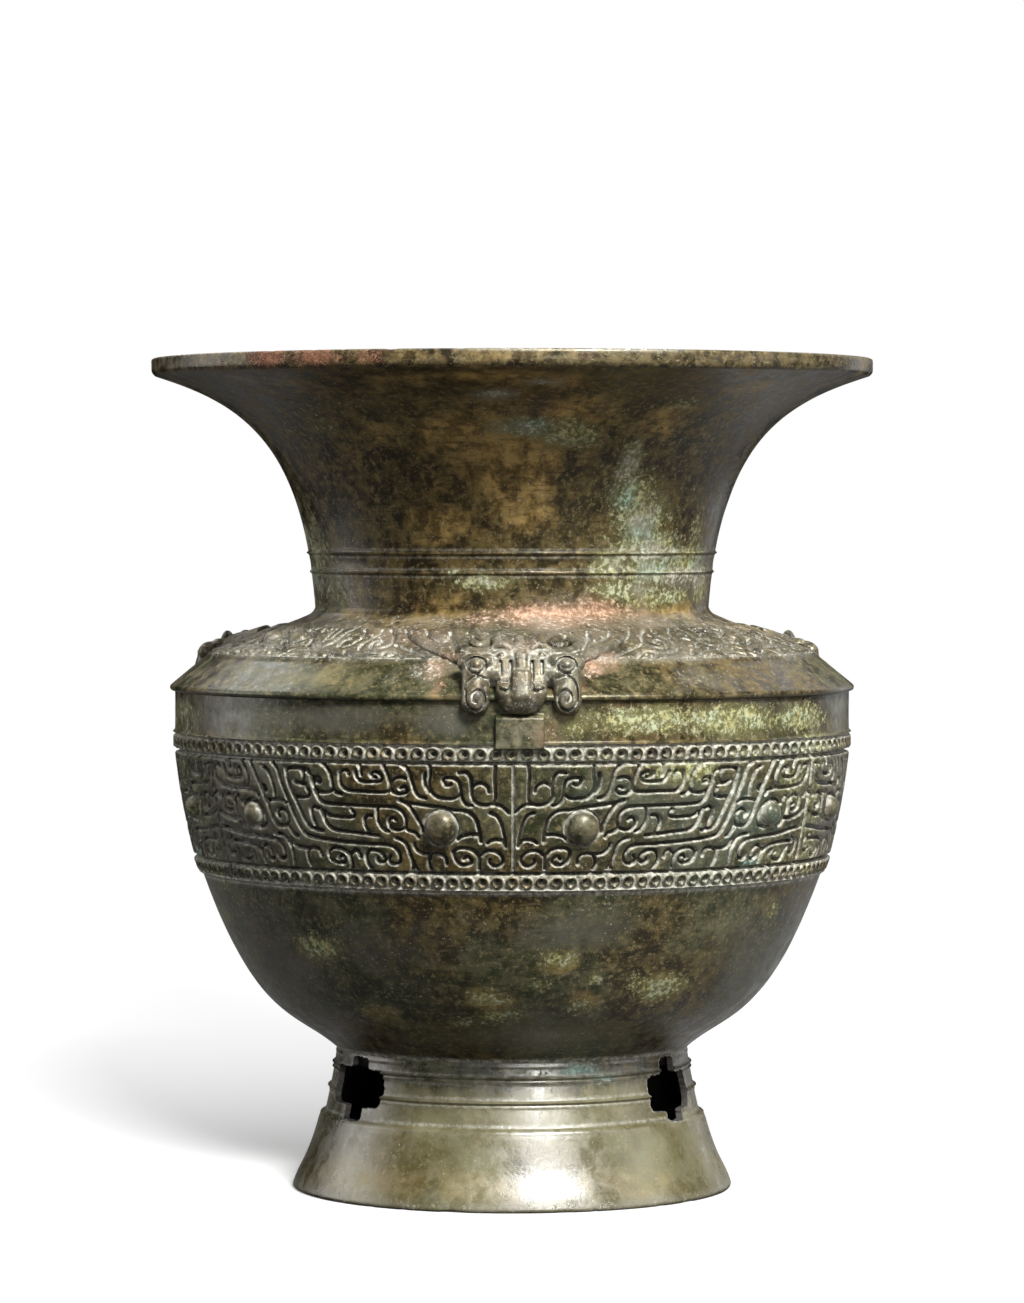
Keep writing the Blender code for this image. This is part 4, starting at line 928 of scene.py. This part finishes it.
def surface_nets(field, lo, hi, step):
    """A closed quad mesh of the field's zero level on a regular grid."""
    n = [int(math.ceil((hi[k] - lo[k]) / step - 1e-6)) + 1 for k in range(3)]
    axes = [lo[k] + step * np.arange(n[k]) for k in range(3)]
    v = np.empty(n, np.float32)
    gy, gz = np.meshgrid(axes[1], axes[2], indexing="ij")
    for i in range(n[0] // 2, n[0], 12):
        xs = axes[0][i:i + 12]
        pts = np.stack([np.repeat(xs, gy.size), np.tile(gy.ravel(), len(xs)), np.tile(gz.ravel(), len(xs))], 1)
        v[i:i + 12] = field(pts).reshape(len(xs), n[1], n[2])
    v[:n[0] // 2] = v[:-(n[0] // 2) - 1:-1]         # the other half is its mirror image
    v[0], v[-1] = 1, 1
    v[:, 0], v[:, -1] = 1, 1
    v[:, :, 0], v[:, :, -1] = 1, 1
    inside = v < 0
    total = np.zeros([k - 1 for k in n] + [3], np.float32)
    count = np.zeros([k - 1 for k in n], np.int32)
    cell = tuple(slice(0, k - 1) for k in n)

    def shift(array, off):
        return array[tuple(slice(o, o + n[k] - 1) for k, o in enumerate(off))]

    corners = [(a, b, c) for a in (0, 1) for b in (0, 1) for c in (0, 1)]
    for a in corners:
        for axis in range(3):
            if a[axis]:
                continue
            b = tuple(o + (1 if k == axis else 0) for k, o in enumerate(a))
            va, vb = shift(v, a), shift(v, b)
            cross = (va < 0) != (vb < 0)
            t = np.where(cross, va / np.where(cross, va - vb, 1), 0)
            for k in range(3):
                total[..., k] += np.where(cross, a[k] + (t if k == axis else 0), 0)
            count += cross
    used = count > 0
    index = np.full(used.shape, -1, np.int64)
    index[used] = np.arange(int(used.sum()))
    base = np.stack(np.meshgrid(*[np.arange(k - 1) for k in n], indexing="ij"), 3)
    verts = (base[used] + total[used] / count[used][:, None]) * step + np.array(lo)
    quads = []
    for axis in range(3):
        o1, o2 = (axis + 1) % 3, (axis + 2) % 3
        first = [slice(1, n[k] - 1) for k in range(3)]
        first[axis] = slice(0, n[axis] - 1)
        second = list(first)
        second[axis] = slice(1, n[axis])
        a, b = inside[tuple(first)], inside[tuple(second)]
        where = np.argwhere(a != b)
        flip = a[tuple(where.T)]
        where[:, o1] += 1
        where[:, o2] += 1
        c = []
        for d1, d2 in ((-1, -1), (0, -1), (0, 0), (-1, 0)):
            q = where.copy()
            q[:, o1] += d1
            q[:, o2] += d2
            c.append(index[tuple(q.T)])
        c = np.stack(c, 1)
        c[~flip] = c[~flip][:, ::-1]
        quads.append(c)
    return verts, np.vstack(quads)


HEAD_TURN = 1.5
HEAD_STEP = 0.42
half_cells = int(49.0 / HEAD_STEP)
head_verts, head_quads = surface_nets(head_field, (-half_cells * HEAD_STEP, 108.0, 217.0), (half_cells * HEAD_STEP, 167.0, 263.0), HEAD_STEP)


def head_cavity(verts, quads):
    """How far each vertex lies below its neighbours: grooves positive."""
    n = len(verts)
    total = np.zeros((n, 3))
    count = np.zeros(n)
    edge = np.vstack([quads[:, [0, 1]], quads[:, [1, 2]], quads[:, [2, 3]], quads[:, [3, 0]]])
    face = verts[quads]
    normal = np.cross(face[:, 2] - face[:, 0], face[:, 3] - face[:, 1])
    vn = np.zeros((n, 3))
    for k in range(4):
        np.add.at(vn, quads[:, k], normal)
    vn /= np.maximum(np.linalg.norm(vn, axis=1), 1e-9)[:, None]
    soft = verts.copy()
    for _ in range(6):
        total[:] = 0
        count[:] = 0
        for a, b in ((0, 1), (1, 0)):
            np.add.at(total, edge[:, a], soft[edge[:, b]])
            np.add.at(count, edge[:, a], 1)
        soft = total / count[:, None]
    return ((soft - verts) * vn).sum(1)


depth_in = head_cavity(head_verts.astype(float), head_quads)

for turn, name in ((0.0, "front"), (120.0, "right"), (240.0, "left")):
    a = math.radians(turn + HEAD_TURN)
    x, r, z = head_verts.T
    wob = (fractal(head_verts * MM + turn, 160.0, 3, 0.55, 101) - 0.5) * 0.5
    co = np.stack([x * math.cos(a) + r * math.sin(a), x * math.sin(a) - r * math.cos(a), z], 1)
    push = (co - np.array((150 * math.sin(a), -150 * math.cos(a), 236.0)))
    push /= np.maximum(np.linalg.norm(push, axis=1), 1e-6)[:, None]
    co = (co + push * wob[:, None]) * MM
    mesh = mesh_from(f"beast_head_{name}", co, head_quads)
    mesh.shade_smooth()
    paint(mesh, np.clip(depth_in / 0.26, 0, 0.6), np.clip(-depth_in / 0.60, 0, 0.5), 0.58)
    obj = bpy.data.objects.new(mesh.name, mesh)
    scene.collection.objects.link(obj)
    pieces.append(obj)


# =====================================================================
# Patinated bronze
# =====================================================================
def patina(name, seed, ior=1.55, metal=0.30, smoothest=0.28, dim=0.0):
    mat = bpy.data.materials.new(name)
    mat.use_nodes = True
    nt = mat.node_tree
    nt.nodes.clear()

    def node(kind, **values):
        n = nt.nodes.new(kind)
        for k, v in values.items():
            setattr(n, k, v)
        return n

    def link(a, b):
        nt.links.new(a, b)

    def put(sock, value):
        if isinstance(value, bpy.types.NodeSocket):
            link(value, sock)
        else:
            sock.default_value = value

    def maths(op, a, b=0.0, clamp=False):
        n = node("ShaderNodeMath", operation=op, use_clamp=clamp)
        put(n.inputs[0], a)
        put(n.inputs[1], b)
        return n.outputs[0]

    def ramp(x, lo, hi, out_lo=0.0, out_hi=1.0):
        n = node("ShaderNodeMapRange", interpolation_type="SMOOTHSTEP")
        put(n.inputs["Value"], x)
        n.inputs["From Min"].default_value = lo
        n.inputs["From Max"].default_value = hi
        n.inputs["To Min"].default_value = out_lo
        n.inputs["To Max"].default_value = out_hi
        return n.outputs["Result"]

    def mix(a, b, f):
        n = node("ShaderNodeMix", data_type="RGBA")
        put(n.inputs[0], f)
        put(n.inputs[6], a if isinstance(a, bpy.types.NodeSocket) else (*a, 1))
        put(n.inputs[7], b if isinstance(b, bpy.types.NodeSocket) else (*b, 1))
        return n.outputs[2]

    coords = node("ShaderNodeTexCoord").outputs["Object"]
    shifted = node("ShaderNodeVectorMath", operation="ADD")
    link(coords, shifted.inputs[0])
    shifted.inputs[1].default_value = (seed * 0.37, seed * 0.21, 0.0)
    here = shifted.outputs[0]

    def noise(scale, detail, rough, distort=0.0, vector=None):
        n = node("ShaderNodeTexNoise")
        link(vector or here, n.inputs["Vector"])
        n.inputs["Scale"].default_value = scale
        n.inputs["Detail"].default_value = detail
        n.inputs["Roughness"].default_value = rough
        n.inputs["Distortion"].default_value = distort
        return n.outputs["Fac"]

    def split(name):
        a = node("ShaderNodeAttribute", attribute_name=name)
        s = node("ShaderNodeSeparateColor")
        link(a.outputs["Color"], s.inputs[0])
        return s.outputs[0], s.outputs[1], s.outputs[2]

    green, pale, pink = split("crust")
    red, gold, turq = split("stain")
    cavity, high, olive = split("relief")
    calm, inside_shade, _ = split("calm")

    broad = noise(16.0, 4.0, 0.55)
    cloud = noise(48.0, 6.0, 0.62, 0.4)
    mottle = noise(130.0, 6.0, 0.66, 0.3)
    grain = noise(420.0, 6.0, 0.7)
    fleck = maths("ADD", maths("MULTIPLY", noise(240.0, 8.0, 0.75, 0.25), 0.42), maths("MULTIPLY", noise(640.0, 5.0, 0.78), 0.58))
    speck = noise(900.0, 3.0, 0.6)
    along = node("ShaderNodeVectorMath", operation="MULTIPLY")
    link(here, along.inputs[0])
    along.inputs[1].default_value = (1.0, 1.0, 9.0)
    streak = noise(75.0, 5.0, 0.7, 0.2, along.outputs[0])

    # the metal's own brown skin
    skin = mix((0.017, 0.0105, 0.003), (0.094, 0.064, 0.019), ramp(mottle, 0.40, 0.61))
    height_of = node("ShaderNodeSeparateXYZ")
    link(coords, height_of.inputs[0])
    lower = ramp(height_of.outputs["Z"], 0.235, 0.275, 1.0, 0.25)
    skin = mix(skin, mix((0.024, 0.030, 0.012), (0.064, 0.066, 0.036), ramp(mottle, 0.38, 0.63)), maths("MULTIPLY", lower, ramp(broad, 0.40, 0.57, 0.12, 0.85)))
    gold_on = ramp(maths("ADD", gold, maths("MULTIPLY", maths("SUBTRACT", cloud, 0.5), 2.0)), 0.25, 1.0, 0.0, 0.85)
    skin = mix(skin, mix((0.108, 0.067, 0.017), (0.390, 0.258, 0.088), ramp(mottle, 0.38, 0.63)), gold_on)
    skin = mix(skin, (0.013, 0.010, 0.005), ramp(cloud, 0.46, 0.34, 0.0, 0.5))
    skin = mix(skin, (0.011, 0.008, 0.005), ramp(streak, 0.47, 0.34, 0.0, 0.6))
    skin = mix(skin, (0.140, 0.118, 0.070), ramp(streak, 0.57, 0.70, 0.0, 0.4))
    olive_on = ramp(maths("ADD", olive, maths("MULTIPLY", maths("SUBTRACT", cloud, 0.5), 1.2)), 0.15, 0.95, 0.0, 0.8)
    skin = mix(skin, mix((0.078, 0.064, 0.020), (0.168, 0.156, 0.080), ramp(broad, 0.40, 0.62)), olive_on)
    calm_on = ramp(maths("ADD", calm, maths("MULTIPLY", maths("SUBTRACT", cloud, 0.5), 1.4)), 0.2, 0.9, 0.0, 0.82)
    skin = mix(skin, mix((0.038, 0.037, 0.028), (0.082, 0.079, 0.061), ramp(broad, 0.38, 0.62)), calm_on)
    smooth_on = maths("MAXIMUM", olive_on, calm_on)
    skin = mix(skin, (0.175, 0.138, 0.066), maths("MULTIPLY", ramp(grain, 0.54, 0.62, 0.0, 0.62), maths("SUBTRACT", 1.0, maths("MULTIPLY", calm_on, 0.75))))
    skin = mix(skin, (0.011, 0.008, 0.004), maths("MULTIPLY", ramp(grain, 0.46, 0.38, 0.0, 0.5), maths("SUBTRACT", 1.0, smooth_on)))
    edge_on = maths("MULTIPLY", high, ramp(mottle, 0.36, 0.60, 0.05, 0.5))
    skin = mix(skin, (0.180, 0.160, 0.112), edge_on)
    # painted shade at the bottom of cuts, paler earth on their walls
    wall = maths("MULTIPLY", maths("MULTIPLY", cavity, maths("SUBTRACT", 1.0, cavity)), 4.0, True)
    skin = mix(skin, (0.012, 0.009, 0.005), ramp(cavity, 0.55, 0.95, 0.0, 0.75))

    # corrosion over it: a thin stain first, then the crust that stands on it
    def spread(mask, lo, hi, source, push, most):
        return ramp(maths("ADD", mask, maths("MULTIPLY", maths("SUBTRACT", source, 0.5), push)), lo, hi, 0.0, most)

    colour = skin
    crusts = []

    def corrode(mask, thin, low, full, share=0.55, most=0.75, at=0.62):
        nonlocal colour
        colour = mix(colour, thin, spread(mask, 0.22, 1.0, cloud, 1.7, share))
        on = spread(mask, at, at + 0.36, fleck, 4.2, most)
        colour = mix(colour, mix(low, full, ramp(grain, 0.42, 0.59)), on)
        crusts.append(on)

    corrode(red, (0.085, 0.028, 0.012), (0.110, 0.034, 0.016), (0.210, 0.090, 0.046), 0.7, 0.7, 0.60)
    corrode(green, (0.108, 0.102, 0.030), (0.074, 0.070, 0.020), mix((0.320, 0.298, 0.128), (0.325, 0.365, 0.245), ramp(mottle, 0.42, 0.60)), 0.7, 0.88, 0.46)
    corrode(turq, (0.075, 0.120, 0.090), (0.100, 0.190, 0.155), (0.240, 0.360, 0.300), 0.45, 0.85, 0.66)
    corrode(pink, (0.200, 0.112, 0.060), (0.170, 0.092, 0.050), (0.430, 0.275, 0.185), 0.75, 0.8, 0.52)
    corrode(pale, (0.170, 0.158, 0.122), (0.220, 0.207, 0.165), (0.440, 0.420, 0.360), 0.6, 0.8, 0.70)
    deposit = maths("MULTIPLY", wall, ramp(fleck, 0.38, 0.58, 0.30, 0.95))
    colour = mix(colour, mix((0.165, 0.160, 0.128), (0.470, 0.462, 0.392), ramp(grain, 0.40, 0.60)), deposit)
    stray = maths("MULTIPLY", ramp(speck, 0.64, 0.71), ramp(cloud, 0.44, 0.60, 0.10, 0.85))
    colour = mix(colour, (0.360, 0.335, 0.265), stray)
    # painted shade inside the vessel and on the belly's underside, darker away from the mouth
    colour = mix(colour, (0.010, 0.008, 0.005), maths("MULTIPLY", inside_shade, 0.92))
    if dim:
        colour = mix(colour, (0.0, 0.0, 0.0), dim)

    crusty = deposit
    for on in crusts:
        crusty = maths("MAXIMUM", crusty, on)
    rough = maths("ADD", ramp(mottle, 0.38, 0.62, smoothest, smoothest + 0.16), maths("MULTIPLY", maths("MAXIMUM", crusty, inside_shade), 0.36), True)

    bump = node("ShaderNodeBump")
    bump.inputs["Strength"].default_value = 0.55
    bump.inputs["Distance"].default_value = 0.0005
    height = maths("ADD", maths("MULTIPLY", mottle, 0.55), maths("MULTIPLY", grain, 0.35))
    height = maths("ADD", height, maths("MULTIPLY", crusty, maths("ADD", 0.25, maths("MULTIPLY", grain, 0.5))))
    put(bump.inputs["Height"], height)

    bsdf = node("ShaderNodeBsdfPrincipled")
    put(bsdf.inputs["Base Color"], colour)
    put(bsdf.inputs["Roughness"], rough)
    put(bsdf.inputs["Metallic"], maths("MULTIPLY", maths("SUBTRACT", 1.0, crusty, True), metal))
    bsdf.inputs["IOR"].default_value = ior
    bsdf.inputs["Specular IOR Level"].default_value = 0.5
    put(bsdf.inputs["Normal"], bump.outputs["Normal"])
    out = node("ShaderNodeOutputMaterial")
    link(bsdf.outputs["BSDF"], out.inputs["Surface"])
    return mat


vessel_bronze = patina("patinated_bronze", 0.0, 1.38)
foot_bronze = patina("polished_bronze", 3.0, 1.70, 0.06, 0.26, 0.34)
head_bronze = patina("cast_on_bronze", 1.0, 1.45)
chip_bronze = patina("chaplet_bronze", 2.0)

for obj in pieces:
    obj.data.materials.clear()
    head = obj.name.startswith("beast_head")
    obj.data.materials.append(head_bronze if head else foot_bronze if obj.name == "ring_foot" else vessel_bronze)
    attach(obj, "root")
    if head:
        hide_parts(obj.name.replace("beast_head_", "") + "_beast_head")
    else:
        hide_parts("vessel_body")

for obj in scene.objects:
    if obj.type == "MESH" and "chaplet" in obj.name:
        obj.data.materials.clear()
        obj.data.materials.append(chip_bronze)

# =====================================================================
# Floor, light, camera
# =====================================================================
bpy.ops.mesh.primitive_plane_add(size=2.2, location=(0, -0.1, -0.0002))
floor = bpy.context.object
floor.name = "floor"
white = bpy.data.materials.new("studio_floor")
white.use_nodes = True
base = white.node_tree.nodes["Principled BSDF"]
base.inputs["Base Color"].default_value = (0.80, 0.80, 0.80, 1)
base.inputs["Roughness"].default_value = 1.0
base.inputs["Specular IOR Level"].default_value = 0.0
base.inputs["Emission Color"].default_value = (1, 1, 1, 1)
# the floor glows: weaker near the vessel, a painted shade around it, and none inside the foot's ring, a painted shadow
# under the vessel
tree = white.node_tree
spot = tree.nodes.new("ShaderNodeTexCoord")
away = tree.nodes.new("ShaderNodeVectorMath")
away.operation = "LENGTH"
middle = tree.nodes.new("ShaderNodeVectorMath")
middle.operation = "ADD"
middle.inputs[1].default_value = (0.0, -0.1, 0.0)          # the plane's own middle to the vessel's
tree.links.new(spot.outputs["Object"], middle.inputs[0])
tree.links.new(middle.outputs["Vector"], away.inputs[0])
slope = tree.nodes.new("ShaderNodeMath")
slope.operation = "MULTIPLY_ADD"
slope.inputs[1].default_value = -1.0 / 0.33
slope.inputs[2].default_value = 0.08 / 0.33
tree.links.new(away.outputs["Value"], slope.inputs[0])
near = tree.nodes.new("ShaderNodeMath")
near.operation = "POWER"
near.inputs[0].default_value = math.e
tree.links.new(slope.outputs[0], near.inputs[1])
fade = tree.nodes.new("ShaderNodeMath")
fade.operation = "MULTIPLY_ADD"
fade.inputs[1].default_value = -0.75
fade.inputs[2].default_value = 1.03
tree.links.new(near.outputs[0], fade.inputs[0])
under = tree.nodes.new("ShaderNodeMapRange")
under.inputs["From Min"].default_value = 0.094
under.inputs["From Max"].default_value = 0.100
tree.links.new(away.outputs["Value"], under.inputs["Value"])
shade = tree.nodes.new("ShaderNodeMath")
shade.operation = "MULTIPLY"
tree.links.new(fade.outputs[0], shade.inputs[0])
tree.links.new(under.outputs["Result"], shade.inputs[1])
tree.links.new(shade.outputs[0], base.inputs["Emission Strength"])      # painted shadow: no glow inside the foot
floor.data.materials.append(white)
floor.visible_diffuse = False
floor.visible_glossy = False

# what the table gives back to the metal, kept low, and only from outside the foot
ring = bmesh.new()
inner = [ring.verts.new((0.108 * math.sin(TAU * k / 64), 0.108 * math.cos(TAU * k / 64), -0.0004)) for k in range(64)]
outer = [ring.verts.new((1.1 * math.sin(TAU * k / 64), 1.1 * math.cos(TAU * k / 64), -0.0004)) for k in range(64)]
for k in range(64):
    ring.faces.new((inner[k], inner[(k + 1) % 64], outer[(k + 1) % 64], outer[k]))
mesh = bpy.data.meshes.new("table_bounce")
ring.to_mesh(mesh)
ring.free()
bounce = bpy.data.objects.new("table_bounce", mesh)
scene.collection.objects.link(bounce)
glow = bpy.data.materials.new("table_bounce")
glow.use_nodes = True
base = glow.node_tree.nodes["Principled BSDF"]
base.inputs["Base Color"].default_value = (0, 0, 0, 1)
base.inputs["Specular IOR Level"].default_value = 0.0
base.inputs["Emission Color"].default_value = (1, 1, 1, 1)
base.inputs["Emission Strength"].default_value = 0.24
mesh.materials.append(glow)
bright = glow.copy()
bright.node_tree.nodes["Principled BSDF"].inputs["Emission Strength"].default_value = 0.55
mesh.materials.append(bright)
for face in mesh.polygons:
    face.material_index = int(face.center.x > 0.12)        # the right side isn't in the vessel's shadow
bounce.visible_camera = False
bounce.visible_shadow = False

world = bpy.data.worlds.new("studio")
scene.world = world
world.use_nodes = True
back = world.node_tree.nodes["Background"]
back.inputs["Color"].default_value = (1.0, 1.0, 1.0, 1)
back.inputs["Strength"].default_value = 1.0
# a white backdrop that is only seen: the softboxes do the lighting
for kind in ("diffuse", "glossy", "transmission", "scatter"):
    setattr(world.cycles_visibility, kind, False)


def area(name, azimuth, height, away, size, power, tint=(1, 1, 1), aim=(0, 0, 0.19)):
    """A softbox at an azimuth from the camera's side (degrees, right positive) and an elevation."""
    light = bpy.data.lights.new(name, "AREA")
    light.shape = "RECTANGLE"
    light.size, light.size_y = size
    light.energy = power
    light.color = tint
    obj = bpy.data.objects.new(name, light)
    a, e = math.radians(azimuth), math.radians(height)
    place = Vector(aim) + away * Vector((math.sin(a) * math.cos(e), -math.cos(a) * math.cos(e), math.sin(e)))
    obj.location = place
    obj.rotation_euler = (Vector(aim) - place).to_track_quat("-Z", "Y").to_euler()
    obj.visible_camera = False
    scene.collection.objects.link(obj)
    return obj


area("key", 23.0, 44.0, 2.2, (0.55, 0.55), 142.0)
area("left_box", -102.0, 14.0, 2.0, (1.2, 1.6), 20.0)
area("right_strip", 140.0, 12.0, 2.1, (0.6, 1.7), 5.0)
area("right_box", 78.0, 15.0, 2.2, (0.9, 1.4), 11.0)
area("back_left", -142.0, 44.0, 2.2, (0.9, 0.9), 13.0)
area("back_right", 142.0, 44.0, 2.2, (0.9, 0.9), 5.5)
area("overhead", 0.0, 88.0, 2.0, (1.4, 1.4), 27.0)
area("front_fill", -12.0, 10.0, 3.0, (2.4, 2.0), 8.0)
area("front_strip", 18.0, 15.0, 2.4, (0.34, 0.8), 10.0)

# the softboxes model the metal; one low lamp near the camera lays the shadow on the table
off_table = bpy.data.collections.new("off_table")
off_table.objects.link(floor)
off_table.collection_objects[0].light_linking.link_state = "EXCLUDE"
for obj in [x for x in scene.collection.objects if x.type == "LIGHT"]:
    obj.light_linking.receiver_collection = off_table
on_foot = bpy.data.collections.new("on_foot")
on_foot.objects.link(foot)
area("foot_strip", 17.0, 12.0, 2.4, (0.8, 0.9), 40.0).light_linking.receiver_collection = on_foot
on_table = bpy.data.collections.new("on_table")
on_table.objects.link(floor)
area("table_lamp", 12.0, 21.5, 2.4, (0.66, 0.36), 135.0).light_linking.receiver_collection = on_table

cam = bpy.data.cameras.new("camera")
cam.sensor_fit = "VERTICAL"
cam.sensor_height = 36.0
cam.lens = 142.6
camera = bpy.data.objects.new("camera", cam)
camera.location = (0.0, -2.374, 0.308)
camera.rotation_euler = (math.radians(90.0 - 1.5), 0.0, 0.0)
scene.collection.objects.link(camera)
scene.camera = camera
scene.view_settings.view_transform = "Standard"
scene.view_settings.look = "None"
